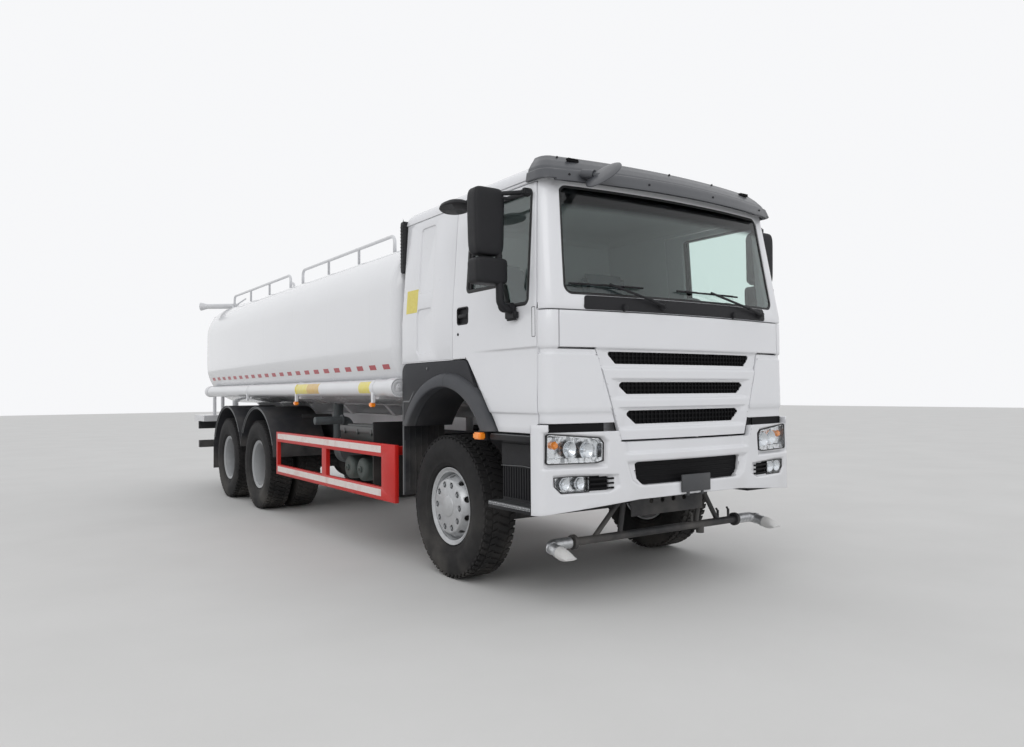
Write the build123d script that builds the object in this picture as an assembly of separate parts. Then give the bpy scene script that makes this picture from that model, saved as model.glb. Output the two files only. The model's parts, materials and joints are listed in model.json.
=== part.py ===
from build123d import *
import math
import os

# Six-wheel water tanker with a long forward-control cab. Millimetres throughout.
# X runs to the right seen from the front, Y to the rear, Z up from the ground.
# Lengthwise places are measured from the front axle. write_node() moves every piece so that
# the origin lies on the ground in the middle of the overall length and width.

# Running gear
wheelbase = 4600            # front axle to first rear axle
bogie_spacing = 1350        # first to second rear axle
front_overhang = 1450       # to the bumper's face
mirror_overhang = 126       # front-view mirror's rim ahead of the bumper
rear_overhang = 2060
tyre_diameter = 1086
tyre_width = 302
rim_flange_diameter = 590
rim_seat_diameter = 522
rim_width = 224
front_track = 2022          # between tyre centres
rear_track = 1830           # between the middles of the twins
twin_spacing = 352
kingpin_offset = 872        # kingpin from the middle of the truck
spindle_radius = 40
running_gap = 0.1           # radial, between a spindle and its hub
seat_gap = 0.3              # between pieces that sit on one another

# Chassis frame
rail_outside = 425
rail_flange = 80
rail_height = 280
rail_top = 1060
bearer_height = 190

# Cab
cab_half_width = 1180
cab_top_half_width = 1118
cab_front = -1405           # middle of the front face at the belt line
cab_top_front = -1275       # middle of the front face at the roof seam
cab_rear = 690
cab_bow = 85                # how far the middle of the front stands ahead of its corners
cab_corner = 90
cab_wall = 65
skirt_z = 1135
floor_z = 1380
floor_thickness = 55
belt_z = 1980
seam_z = 2812
roof_height = 122
door_gap = 8
slant_gap = 16              # lengthwise, between a door and the slanted edge of its mudguard
door_front = -1212
door_rear = -150
door_top = 2782
flap_thickness = 30
flap_top = 1930
flap_crease = 1695
flap_bottom = 1088
panel_gap = 8
crease_gap = 12             # under the front flap's strip, which dips as it opens
bumper_half_width = 1245
bumper_front = -1448
bumper_bow = 125
bumper_corner = 90
bumper_wall = 50
bumper_rear = -1226
glass_thickness = 7

# Engine and gearbox
engine_front = -780
engine_length = 1500
gearbox_length = 620

# Tank
tank_half_width = 1195
tank_top = 2785
tank_bottom = bearer_height + rail_top + 30
tank_front = 800
platform_length = 680       # rear platform, from the tank's rear head to the truck's end
tank_top_radius = 480
tank_bottom_radius = 560
hose_tube_radius = 75
hose_tube_x = 1155
hose_tube_z = 1455
guard_face = 1240
guard_tube = 40

# Worked-out places
axle_z = tyre_diameter / 2
rear_axles = [wheelbase, wheelbase + bogie_spacing]
bogie_y = wheelbase + bogie_spacing / 2
front_end = -front_overhang
rear_end = wheelbase + bogie_spacing + rear_overhang
middle_y = (front_end - mirror_overhang + rear_end) / 2
gearbox_end = engine_front + engine_length + gearbox_length
tank_rear = rear_end - platform_length
rail_bottom = rail_top - rail_height
tyre_radius = tyre_diameter / 2
rim_radius = rim_flange_diameter / 2
seat_radius = rim_seat_diameter / 2
front_wheel_x = front_track / 2
twin_x = rear_track / 2
SIDES = [("right", -1), ("left", 1)]

os.makedirs("parts", exist_ok=True)


def write_node(name, *shapes):
    """Write all solids of one sub-part, shifted to the common origin."""
    solids = [solid for shape in shapes for solid in shape.solids()]
    export_step(Pos(0, -middle_y, 0) * Compound(solids), f"parts/{name}.step")


def block(x, y, z):
    """Box between three (low, high) pairs."""
    size = Box(x[1] - x[0], y[1] - y[0], z[1] - z[0])
    return Pos(sum(x) / 2, sum(y) / 2, sum(z) / 2) * size


def face_of(points, radius=0.0):
    face = make_face(Polyline(*points, close=True))
    return fillet(face.vertices(), radius) if radius else face


def side_prism(points, x, radius=0.0):
    """Outline in (y, z) extruded between two x."""
    return extrude(Plane.YZ.offset(x[0]) * face_of(points, radius), amount=x[1] - x[0])


def front_prism(points, y, radius=0.0):
    """Outline in (x, z) extruded between two y."""
    return extrude(Plane.XZ.offset(-y[1]) * face_of(points, radius), amount=y[1] - y[0])


def rod(start, end, radius):
    """Round bar between two points."""
    path = Line(start, end)
    return sweep(Plane(origin=path @ 0, z_dir=path % 0) * Circle(radius), path=path)


def bent_tube(points, bend, radius):
    """Round tube along a path with rounded bends."""
    path = FilletPolyline(*points, radius=bend)
    return sweep(Plane(origin=path @ 0, z_dir=path % 0) * Circle(radius), path=path)


def mirrored(shape):
    return mirror(shape, about=Plane.YZ)


def turned(profile):
    """Revolve a closed (x, radius) outline about the X axis."""
    return revolve(make_face(Polyline(*profile, close=True)), axis=Axis.X)


def plan_section(z, half, front, rear, bow, corner, inset=0):
    """Plan outline of a bowed front with rounded corners and straight sides, set inwards."""
    half, front, rear, corner = half - inset, front + inset, rear - inset, max(corner - inset, 15)
    wing = front + bow
    side = wing + corner
    cut = corner * (1 - math.sqrt(0.5))
    edges = [
        Line((-half, rear), (-half, side)),
        ThreePointArc((-half, side), (-half + cut, wing + cut), (-half + corner, wing)),
        ThreePointArc((-half + corner, wing), (0, front), (half - corner, wing)),
        ThreePointArc((half - corner, wing), (half - cut, wing + cut), (half, side)),
        Line((half, side), (half, rear)),
        Line((half, rear), (-half, rear)),
    ]
    return Plane.XY.offset(z) * make_face(edges)


def cab_form(inset):
    """The cab's outer form, or the same form set inwards."""
    levels = [
        # z, half width, front
        (skirt_z, cab_half_width, cab_front),
        (belt_z, cab_half_width, cab_front),
        (seam_z, cab_top_half_width, cab_top_front),
    ]
    return loft([plan_section(z, half, front, cab_rear, cab_bow, cab_corner, inset)
                 for z, half, front in levels], ruled=True)


def cab_skin(outer, inner):
    return cab_form(outer) - cab_form(inner)


# Chassis frame: two channel rails tied by tubes and channels.
rail_inside = rail_outside - rail_flange
frame_front = -1180
frame_rear = rear_end - 160
cross_members = [
    # y, depth below the rail top, thickness
    (frame_front + 60, 200, 90),
    (gearbox_end + 110, 220, 80),
    (2900, 220, 80),
    (rear_axles[0] + 330, 200, 80),
    (bogie_y + 345, 200, 80),
    (rear_axles[1] + 620, 220, 80),
    (frame_rear - 60, 240, 90),
]
web = 12
frame = None
for side in (-1, 1):
    rail = block(sorted((side * rail_outside, side * rail_inside)), (frame_front, frame_rear),
                 (rail_bottom, rail_top))
    pocket = block(sorted((side * (rail_outside - web), side * (rail_inside - 1))),
                   (frame_front - 1, frame_rear + 1), (rail_bottom + web, rail_top - web))
    rail = rail - pocket
    frame = rail if frame is None else frame + rail
for y, depth, thick in cross_members:
    frame += block((-rail_outside + web / 2, rail_outside - web / 2), (y - thick / 2, y + thick / 2),
                   (rail_top - depth, rail_top - web / 2))
write_node("chassis_frame", frame)

# Engine and gearbox as one plain block between the rails.
engine_bottom = 700
engine_top = floor_z - 60
rail_wall = rail_outside - web - seat_gap
engine_half = rail_inside - 20
engine = block((-engine_half, engine_half), (engine_front, engine_front + engine_length),
               (engine_bottom, engine_top))
gearbox_half = 210
engine += block((-gearbox_half, gearbox_half),
                (engine_front + engine_length - 1, gearbox_end),
                (engine_bottom, rail_top - 40))
mount_y = (engine_front + 250, engine_front + engine_length - 200)
for y in mount_y:
    engine += block((-rail_wall, rail_wall), (y - 45, y + 45), (rail_bottom + 60, rail_bottom + 140))
write_node("engine_block", engine)

# Propeller shafts: gearbox to first rear axle, and on to the second.
diff_radius = 215
diff_nose = 150
shaft_radius = 55
shaft_z = axle_z + 60
gearbox_shaft_z = engine_bottom + 70
nose_y = rear_axles[0] - diff_radius - diff_nose
shaft_fall = (gearbox_shaft_z - shaft_z) / (nose_y - gearbox_end)
shaft_gap = seat_gap + shaft_radius * shaft_fall
shafts = [
    rod((0, gearbox_end + shaft_gap, gearbox_shaft_z), (0, nose_y - shaft_gap, shaft_z), shaft_radius),
    rod((0, rear_axles[0] + diff_radius + seat_gap + 25, shaft_z),
        (0, rear_axles[1] - diff_radius - diff_nose - seat_gap, shaft_z), shaft_radius),
]
# Front axle: a dropped I-beam with a boss for each kingpin.
beam_z = (axle_z - 150, axle_z - 40)
beam_half = kingpin_offset - 150
boss_radius = 52
kingpin_radius = 24
axle_outline = [
    (-kingpin_offset, axle_z + 55), (-kingpin_offset, axle_z - 55), (-beam_half, axle_z - 75),
    (-beam_half + 120, beam_z[0]), (beam_half - 120, beam_z[0]), (beam_half, axle_z - 75),
    (kingpin_offset, axle_z - 55), (kingpin_offset, axle_z + 55), (beam_half, axle_z + 55),
    (beam_half - 120, beam_z[1]), (-beam_half + 120, beam_z[1]), (-beam_half, axle_z + 55),
]
front_axle = front_prism(axle_outline, (-45, 45))
for side in (-1, 1):
    boss = Pos(side * kingpin_offset, 0, axle_z) * Cylinder(boss_radius, 130)
    front_axle = front_axle + boss
    front_axle -= Pos(side * kingpin_offset, 0, axle_z) * Cylinder(kingpin_radius + running_gap, 400)
spring_pad_x = (rail_outside + rail_inside) / 2
spring_width = 90
pad_top = axle_z + 20
for side in (-1, 1):
    pad_x = sorted((side * (spring_pad_x - 55), side * (spring_pad_x + 55)))
    front_axle += block(pad_x, (-110, 110), (beam_z[1] - 20, pad_top))
write_node("front_axle", front_axle)

# Steering knuckles: a fork on the kingpin, a spindle for the hub and a steering arm behind.
fork_gap = 6
fork_thickness = 45
fork_half = 65 + fork_gap
spindle_out = front_wheel_x + 95 - kingpin_offset
arm_length = 150
arm_z = axle_z - fork_half - fork_thickness / 2
tie_pin_radius = 12
for name, side in SIDES:
    lug_height = 2 * (fork_half + fork_thickness)
    lug = Cylinder(boss_radius, lug_height) - Cylinder(boss_radius + 10, 2 * fork_half)
    cheek_x = (boss_radius + 12, boss_radius + 42)
    cheek = block(cheek_x, (-60, 60), (-fork_half - fork_thickness, fork_half + fork_thickness))
    bridge = block((0, cheek_x[0] + 5), (-45, 45), (fork_half, fork_half + fork_thickness))
    bridge += block((0, cheek_x[0] + 5), (-45, 45), (-fork_half - fork_thickness, -fork_half))
    pin = Cylinder(kingpin_radius, lug_height)
    spindle = Pos((cheek_x[1] + spindle_out) / 2 - 2, 0, 0) * Rot(0, 90, 0) * Cylinder(
        spindle_radius, spindle_out - cheek_x[1] + 4)
    arm = block((-22, 22), (20, arm_length), (arm_z - axle_z - 16, arm_z - axle_z + 16))
    arm += Pos(0, arm_length, arm_z - axle_z) * Cylinder(30, 32)
    arm += Pos(0, arm_length, arm_z - axle_z - 40) * Cylinder(tie_pin_radius, 56)
    knuckle = lug + cheek + bridge + pin + spindle + arm
    if side < 0:
        knuckle = mirrored(knuckle)
    write_node(f"knuckle_{name}", Pos(side * kingpin_offset, 0, axle_z) * knuckle)

# Tie rod: joins the two steering arms behind the axle.
tie_z = arm_z - 52
tie_rod = rod((-kingpin_offset + 20, arm_length, tie_z), (kingpin_offset - 20, arm_length, tie_z), 16)
for side in (-1, 1):
    tie_rod += Pos(side * kingpin_offset, arm_length, tie_z) * Cylinder(28, 28)
for side in (-1, 1):
    tie_rod -= Pos(side * kingpin_offset, arm_length, tie_z) * Cylinder(
        tie_pin_radius + running_gap, 60)
write_node("tie_rod", tie_rod)

# Leaf springs: front pairs on the axle pads, rear packs on the bogie trunnion.
front_spring_half = 720
spring_arch = 95
leaf_pack = 70


def leaf_outline(half, seat, eye, pack):
    """Side view of a leaf pack that is thick at its seat and thin at its eyes."""
    return [(-half, eye), (0, seat), (half, eye), (half, eye + 22), (60, seat + pack),
            (-60, seat + pack), (-half, eye + 22)]


springs = []
hanger_y = front_spring_half - 30
for side in (-1, 1):
    lane = sorted((side * (spring_pad_x - spring_width / 2), side * (spring_pad_x + spring_width / 2)))
    leaf = side_prism(leaf_outline(front_spring_half, pad_top + seat_gap, pad_top + spring_arch,
                                   leaf_pack), lane)
    for end in (-1, 1):
        hanger = block(lane, sorted((end * hanger_y, end * (hanger_y + 70))),
                       (pad_top + spring_arch + 5, rail_bottom - seat_gap))
        leaf = leaf + hanger
    springs.append(leaf)
bogie_spring_x = 530
spring_seat = 85
bogie_spring_z = axle_z + spring_seat + seat_gap
for side in (-1, 1):
    lane = sorted((side * (bogie_spring_x - 50), side * (bogie_spring_x + 50)))
    half = bogie_spacing / 2 + 60
    outline = [(bogie_y - half, bogie_spring_z), (bogie_y - half + 130, bogie_spring_z),
               (bogie_y - 120, bogie_spring_z + 60), (bogie_y + 120, bogie_spring_z + 60),
               (bogie_y + half - 130, bogie_spring_z), (bogie_y + half, bogie_spring_z),
               (bogie_y + half, bogie_spring_z + 35), (bogie_y + 110, bogie_spring_z + 205),
               (bogie_y - 110, bogie_spring_z + 205), (bogie_y - half, bogie_spring_z + 35)]
    bogie = side_prism(outline, lane)
    saddle_x = sorted((side * (rail_outside + seat_gap), side * (bogie_spring_x + 62)))
    bogie += block(saddle_x, (bogie_y - 130, bogie_y + 130), (bogie_spring_z + 90, bogie_spring_z + 240))
    springs.append(bogie)
write_node("leaf_springs", *springs)

# Rear axles: housing with a round differential, a nose for the shaft and the hub spindles.
housing_radius = 78
housing_half = twin_x - 210
rear_axle_solids = []
for y in rear_axles:
    bowl = Rot(90, 0, 0) * Cylinder(diff_radius, 250)
    axle = Pos(0, y, axle_z) * (Rot(0, 90, 0) * Cylinder(housing_radius, 2 * housing_half)
                               + fillet(bowl.edges(), 60))
    nose = rod((0, y - 90, shaft_z), (0, y - diff_radius - diff_nose, shaft_z), 88)
    axle += nose
    axle += rod((0, y + 90, shaft_z), (0, y + diff_radius + 25, shaft_z), 80)
    spindle_end = twin_x + 100
    axle += Pos(0, y, axle_z) * Rot(0, 90, 0) * Cylinder(spindle_radius, 2 * spindle_end)
    for side in (-1, 1):
        seat_x = sorted((side * (bogie_spring_x - 60), side * (bogie_spring_x + 60)))
        axle += block(seat_x, (y - 70, y + 70), (axle_z - 60, axle_z + spring_seat))
    rear_axle_solids.append(axle)
write_node("rear_axles", *rear_axle_solids, *shafts)

# Wheels. Each outline is turned about the axle; the outboard side is +x before placing.
bead = rim_width / 2 - 12
shoulder = tyre_width / 2 - 23
tyre_outline = [
    Line((-bead, seat_radius), (-bead - 4, rim_radius + 5)),
    ThreePointArc((-bead - 4, rim_radius + 5), (-tyre_width / 2, (rim_radius + tyre_radius) / 2),
                  (-shoulder, tyre_radius - 14)),
    ThreePointArc((-shoulder, tyre_radius - 14), (0, tyre_radius), (shoulder, tyre_radius - 14)),
    ThreePointArc((shoulder, tyre_radius - 14), (tyre_width / 2, (rim_radius + tyre_radius) / 2),
                  (bead + 4, rim_radius + 5)),
    Line((bead + 4, rim_radius + 5), (bead, seat_radius)),
    Line((bead, seat_radius), (-bead, seat_radius)),
]
tyre = revolve(make_face(tyre_outline), axis=Axis.X)

rim_half = rim_width / 2
barrel = turned([
    (-rim_half, rim_radius), (-rim_half, seat_radius - 13), (rim_half, seat_radius - 13),
    (rim_half, rim_radius), (rim_half - 6, rim_radius), (rim_half - 6, seat_radius - seat_gap),
    (6 - rim_half, seat_radius - seat_gap), (6 - rim_half, rim_radius),
])
disc_thickness = 14
hub_face = 170              # radius of the flat, bolted middle of a disc
disc_root = seat_radius - 10


def wheel_disc(root, face):
    """Dished steel disc from the barrel at root to its flat middle at face."""
    return turned([(root, disc_root), (face, hub_face), (face, 0), (face + disc_thickness, 0),
                   (face + disc_thickness, hub_face), (root + disc_thickness, disc_root)])


def bore_for_spindle(shape, inner, outer):
    """Blind bore that runs on the spindle."""
    hole = Pos((inner + outer) / 2, 0, 0) * Rot(0, 90, 0) * Cylinder(
        spindle_radius + running_gap, outer - inner)
    return shape - hole


front_face = rim_half - 8
front_disc_depth, rear_disc_depth = 70, 105
hand_hole_count = 10
hand_hole_radius = 25
hand_hole_circle = 217
drum_radius = hand_hole_circle - hand_hole_radius - 4


def with_hand_holes(shape, start, end):
    """Round holes in a ring through the sloped part of a disc."""
    middle, length = (start + end) / 2, end - start
    for step in range(hand_hole_count):
        hole = Pos(middle, 0, hand_hole_circle) * Rot(0, 90, 0) * Cylinder(hand_hole_radius, length)
        shape -= Rot(360 / hand_hole_count * step, 0, 0) * hole
    return shape


front_rim = barrel + with_hand_holes(wheel_disc(front_face - front_disc_depth, front_face),
                                     front_face - front_disc_depth - 1, front_face + 20)
front_rim += turned([(front_face + disc_thickness - 1, 0), (front_face + disc_thickness - 1, 135),
                     (front_face + 30, 120), (front_face + 30, 0)])
drum_in = kingpin_offset + boss_radius + 48 - front_wheel_x
front_rim += turned([(drum_in, 0), (drum_in, drum_radius), (front_face - 72, drum_radius),
                     (front_face - 50, 110), (front_face + 2, 110), (front_face + 2, 0)])
front_rim = bore_for_spindle(front_rim, drum_in - 1, spindle_out + kingpin_offset - front_wheel_x + 6)
for name, side in SIDES:
    wheel_rim = front_rim if side > 0 else mirrored(front_rim)
    place = Pos(side * front_wheel_x, 0, axle_z)
    write_node(f"tyre_front_{name}", place * tyre)
    write_node(f"rim_front_{name}", place * wheel_rim)

twin_half = twin_spacing / 2
outer_face = -twin_half
rear_disc = with_hand_holes(wheel_disc(outer_face + rear_disc_depth, outer_face),
                            outer_face + 6, outer_face + rear_disc_depth + 20)
rear_rim = Pos(twin_half, 0, 0) * (barrel + rear_disc)
rear_rim += Pos(-twin_half, 0, 0) * (barrel + mirrored(rear_disc))
rear_drum_in = housing_half + 6 - twin_x
rear_rim += turned([(rear_drum_in, 0), (rear_drum_in, drum_radius), (-20, drum_radius), (-10, 130), (60, 120),
                    (spindle_end - twin_x + 40, 95), (spindle_end - twin_x + 40, 0)])
rear_rim = bore_for_spindle(rear_rim, rear_drum_in - 1, spindle_end - twin_x + 6)
for row, y in enumerate(rear_axles, start=1):
    for name, side in SIDES:
        wheel_rim = rear_rim if side > 0 else mirrored(rear_rim)
        twins = [Pos(side * (twin_x + step), y, axle_z) * tyre for step in (-twin_half, twin_half)]
        write_node(f"tyres_rear{row}_{name}", *twins)
        write_node(f"rims_rear{row}_{name}", Pos(side * twin_x, y, axle_z) * wheel_rim)

# Cab body: hollow shell with floor and front wall, open at both doors and the windscreen.
arch_slope = 0.78           # run of the mudguard's front edge for each millimetre of fall
fender_top = 1648
fender_corner = -345
wide = 1400                 # far enough out to cut right through a side


def fender_edge(z):
    return fender_corner - (fender_top - z) * arch_slope


def door_outline(grow):
    low = skirt_z + 5
    points = [(door_front, low), (door_front, belt_z + 20), (door_front + 75, door_top),
              (door_rear, door_top), (door_rear, fender_top + door_gap),
              (fender_edge(fender_top + door_gap) - slant_gap, fender_top + door_gap),
              (fender_edge(low) - slant_gap, low)]
    face = make_face(Polyline(*points, close=True))
    return offset(face, amount=grow, kind=Kind.INTERSECTION) if grow else face


def through_sides(face, side):
    x0 = 900 if side > 0 else -wide
    return extrude(Plane.YZ.offset(x0) * face, amount=wide - 900)


window_points = [(-1118, 1985), (-1100, 2738), (-345, 2738), (-345, 2140), (-800, 2140), (-862, 1985)]
window_face = face_of(window_points, 34)
screen_low, screen_high = 2035, 2768
screen_points = [(-1035, screen_low), (-985, screen_high), (985, screen_high), (1035, screen_low)]
screen_prism = front_prism(screen_points, (-1600, -1050), 60)

wall_front = (door_front - 50, door_front - 10)
cab = cab_skin(0, cab_wall)
cab -= block((-wide, wide), (-2000, 1000), (skirt_z - 10, floor_z))
cab -= block((-wide, wide), (-2000, wall_front[1]), (skirt_z - 10, flap_top + panel_gap))
cab -= screen_prism
rear_floor_x = cab_half_width - cab_wall + 5
front_floor_x = cab_half_width - cab_wall - door_gap
cab += block((-rear_floor_x, rear_floor_x), (door_rear + door_gap, cab_rear - cab_wall + 5),
             (floor_z, floor_z + floor_thickness))
cab += block((-front_floor_x, front_floor_x), (wall_front[0] + 1, door_rear + door_gap + 1),
             (floor_z, floor_z + floor_thickness))
front_wall = block((-wide, wide), wall_front, (skirt_z + 6, flap_top + panel_gap + 45))
cab += front_wall & cab_form(flap_thickness + seat_gap)
for _, side in SIDES:
    cab -= through_sides(door_outline(door_gap), side)
    post_x = sorted((side * (front_floor_x - 55), side * front_floor_x))
    cab += block(post_x, (wall_front[0] + 5, door_front + 60), (floor_z, flap_top))
# the side wall stops above the mudguard
for low, high in ((1720, 2080), (2210, 2740)):
    recess_points = [(190, low), (430, low), (430, high), (190, high)]
    for _, side in SIDES:
        cab -= cab_skin(-20, 11) & through_sides(face_of(recess_points, 35), side)
under_x = cab_half_width - 40
cab -= block((-wide, wide), (fender_edge(skirt_z) - 20, 1000), (skirt_z - 10, fender_top + 4)) - block(
    (-under_x, under_x), (-2000, 2000), (0, 3000))
# pressed wheelhouses over the front wheels
arch_y, arch_z = -60, 800
arch_inner = 652
liner_thickness = 14
wheelhouse_radius = arch_inner + liner_thickness + 12
wheelhouse_x = 775
for side in (-1, 1):
    lane = sorted((side * wheelhouse_x, side * (under_x - 1)))
    hood = Pos(sum(lane) / 2, arch_y, arch_z) * Rot(0, 90, 0) * Cylinder(
        wheelhouse_radius + 30, lane[1] - lane[0])
    cab += hood & block(lane, (wall_front[1] + 20, cab_rear - 20), (floor_z, fender_top + 3))
    lane = sorted((side * (wheelhouse_x + 30), side * wide))
    cab -= Pos(sum(lane) / 2, arch_y, arch_z) * Rot(0, 90, 0) * Cylinder(
        wheelhouse_radius, lane[1] - lane[0])
write_node("cab_body", cab)

# Roof: a pressed pan with rounded edges, set on the seam.
roof_levels = [
    # height above the seam, inset at the sides and rear, inset at the front
    (seat_gap, -6, -6), (40, 0, 5), (roof_height - 30, 38, 60), (roof_height, 130, 190),
]


def roof_form(inset, drop):
    sections = []
    for height, side_in, front_in in roof_levels:
        z = seam_z + (height if height < 1 else height - drop)
        sections.append(plan_section(z, cab_top_half_width - side_in, cab_top_front + front_in,
                                     cab_rear - side_in, cab_bow, cab_corner - 10, inset))
    return loft(sections, ruled=True)


roof = roof_form(0, 0) - roof_form(cab_wall - 15, 30)
write_node("cab_roof", roof)

# Windscreen: curved glass that follows the cab's front.
windscreen = cab_skin(6, 6 + glass_thickness) & front_prism(screen_points, (-1600, -1050), 60)
write_node("windscreen", windscreen)

# Doors: as thick as the wall, with the window cut, its glass in the opening and a dished handle.
handle_y, handle_z = (-375, -215), (1905, 2035)
for name, side in SIDES:
    opening = through_sides(window_face, side)
    door = (cab_skin(0, cab_wall) & through_sides(door_outline(0), side)) - opening
    dish_x = sorted((side * (cab_half_width - 28), side * wide))
    door -= block(dish_x, handle_y, handle_z)
    grip_x = sorted((side * (cab_half_width - 14), side * (cab_half_width - 2)))
    door += block(grip_x, (handle_y[0] - 5, handle_y[1] + 5), (1955, 1985))
    write_node(f"door_{name}", door)
    write_node(f"door_glass_{name}", cab_skin(20, 20 + glass_thickness) & opening)

# Front flap: hood strip and grille in one pressed cover, hinged along its top edge.
strip_half = cab_half_width - cab_corner - 15
grille_top_half = 800
grille_bottom_half = 612
relief = 14                 # the cover's inner layer is cut back over the corner panels


def flap_region(rise):
    crease = flap_crease + rise
    points = [(-strip_half, flap_top), (-strip_half, crease), (-grille_top_half, crease),
              (-grille_bottom_half, flap_bottom), (grille_bottom_half, flap_bottom),
              (grille_top_half, crease), (strip_half, crease), (strip_half, flap_top)]
    return front_prism(points, (-1600, -1100))


flap = (cab_skin(0, 12) & flap_region(0)) + (cab_skin(11, flap_thickness) & flap_region(relief))
# Grille slots. The top one is a trapezium, the others are pointed at their ends.
slots = [
    # z low, z high, half width at the top, half width at mid height, half width at the bottom
    (1590, 1670, 720, 680, 640),
    (1390, 1470, 575, 620, 545),
    (1190, 1280, 515, 560, 465),
]
pocket_depth, pocket_side = 12, 55
pocket_head, pocket_foot = 10, 42


def slot_prism(slot, side, head, foot):
    """The slot's outline, moved outwards at its sides, head and foot."""
    low, high, top, mid, bottom = slot
    centre = (low + high) / 2
    half = [(top + side, high + head), (mid + side, centre), (bottom + side, low - foot)]
    return front_prism([(-x, z) for x, z in half] + half[::-1], (-1600, -1100))


for slot in slots:
    flap -= cab_skin(-5, pocket_depth) & slot_prism(slot, pocket_side, pocket_head, pocket_foot)
    flap -= slot_prism(slot, 0, 0, 0)
write_node("front_flap", flap)

# Black grille behind the slots, fixed to the back of the cover.
grille_points = [(-grille_top_half + 30, flap_crease - 10), (-grille_bottom_half - 20, 1150),
                 (grille_bottom_half + 20, 1150), (grille_top_half - 30, flap_crease - 10)]
grille = cab_skin(flap_thickness, flap_thickness + 12) & front_prism(grille_points, (-1600, -1100))
rib_count, rib_height = 2, 8
for low, high, top, mid, bottom in slots:
    for rib in range(1, rib_count + 1):
        z = low + (high - low) * rib / (rib_count + 1)
        grille += cab_skin(flap_thickness - 12, flap_thickness + 1) & block(
            (10 - bottom, bottom - 10), (-1600, -1100), (z - rib_height / 2, z + rib_height / 2))
write_node("grille_insert", grille)

# Corner panels between the cover and the doors.
panel_bottom = 1205
side_clear = panel_gap


def grille_half_at(z):
    share = (z - flap_bottom) / (flap_crease - flap_bottom)
    return grille_bottom_half + (grille_top_half - grille_bottom_half) * share


corner_points = [
    (wide, panel_bottom), (grille_half_at(panel_bottom) + side_clear, panel_bottom),
    (grille_half_at(flap_crease - crease_gap) + side_clear, flap_crease - crease_gap),
    (strip_half + side_clear, flap_crease - crease_gap), (strip_half + side_clear, flap_top),
    (wide, flap_top),
]
corner_panel = cab_skin(0, flap_thickness) & front_prism(corner_points, (-1600, door_front - 10))
write_node("corner_panels", corner_panel, mirrored(corner_panel))

# Cowl: black panel with the wiper spindles, below the windscreen.
cowl_half = 900
cowl_points = [(-cowl_half, flap_top + panel_gap + 2), (-cowl_half + 12, screen_low - 4),
               (cowl_half - 12, screen_low - 4), (cowl_half, flap_top + panel_gap + 2)]
cowl = (cab_form(-6) - cab_form(-seat_gap)) & front_prism(cowl_points, (-1600, -1100))
boss_z, boss_out = flap_top + 55, 36
knob_z = flap_top + 32
blade_z = screen_low + 68
arm_radius, blade_radius = 9, 7
wipers = [
    # spindle, far end of the blade, near end of the blade
    (-250, -1000, -410),
    (820, -100, 560),
]


def nose_point(x, z, out):
    """A place in front of the cab's face."""
    reach = cab_half_width - cab_corner
    bow_radius = (reach ** 2 + cab_bow ** 2) / (2 * cab_bow)
    lean = (cab_top_front - cab_front) * max(z - belt_z, 0) / (seam_z - belt_z)
    return (x, cab_front + lean + bow_radius - math.sqrt(bow_radius ** 2 - x ** 2) - out, z)


for spindle, blade_end, blade_start in wipers:
    cowl += rod(nose_point(spindle, boss_z, 3), nose_point(spindle, boss_z, boss_out), 30)
    cowl += rod(nose_point(spindle - 330, knob_z, 3.5), nose_point(spindle - 330, knob_z, 30), 22)
    middle = (blade_start + blade_end) / 2
    cowl += rod(nose_point(spindle, boss_z, boss_out - 8), nose_point(middle, blade_z, 22), arm_radius)
    cowl += rod(nose_point(blade_end, blade_z, 19), nose_point(blade_start, blade_z, 19), blade_radius)
write_node("cowl_panel", cowl - cab_form(-seat_gap))


# Bumper: one moulding with pockets for headlamps and fog lamps and a central intake.
def bumper_form(inset):
    return extrude(plan_section(600, bumper_half_width, bumper_front, bumper_rear + inset,
                                bumper_bow, bumper_corner, inset), amount=700)


def bumper_skin(outer, inner):
    return bumper_form(outer) - bumper_form(inner)


bumper_top = flap_bottom - 12
bumper_side_top = 1200
lamp_shelf = 1150
bumper_points = [
    (0, 700), (500, 694), (bumper_half_width, 632), (bumper_half_width, bumper_side_top),
    (1172, bumper_side_top), (1172, lamp_shelf), (grille_half_at(lamp_shelf) + 26, lamp_shelf),
    (grille_bottom_half + 26, bumper_top + 4), (grille_bottom_half - 10, bumper_top), (0, bumper_top),
]
outline = bumper_points + [(-x, z) for x, z in reversed(bumper_points[1:-1])]
headlamp_points = [(775, 962), (772, 1078), (800, 1108), (1160, 1140), (1300, 1142), (1300, 955),
                   (830, 950)]
fog_points = [(735, 770), (735, 862), (1000, 872), (1130, 868), (1128, 810), (1080, 765)]
intake_points = [(-520, 940), (-505, 830), (-455, 785), (455, 785), (505, 830), (520, 940)]
bumper = bumper_skin(0, bumper_wall) & front_prism(outline, (-1700, -1100))
intake_surround = [(-590, 955), (-560, 820), (-490, 768), (490, 768), (560, 820), (590, 955)]
nose_band = [(-560, 1000), (-560, 1100), (560, 1100), (560, 1000)]
fog_surround = [(705, 755), (705, 885), (1000, 890), (1145, 886), (1145, 806), (1085, 748)]
for points, depth in ((intake_surround, 14), (nose_band, 16), (fog_surround, 10)):
    recess = bumper_skin(-5, depth) & front_prism(points, (-1700, -1100))
    bumper -= recess
    if points is fog_surround:
        bumper -= mirrored(recess)
bumper -= front_prism(intake_points, (-1700, -1100))
for points in (headlamp_points, fog_points):
    pocket = front_prism(points, (-1700, -1100))
    bumper = bumper - pocket - mirrored(pocket)
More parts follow.
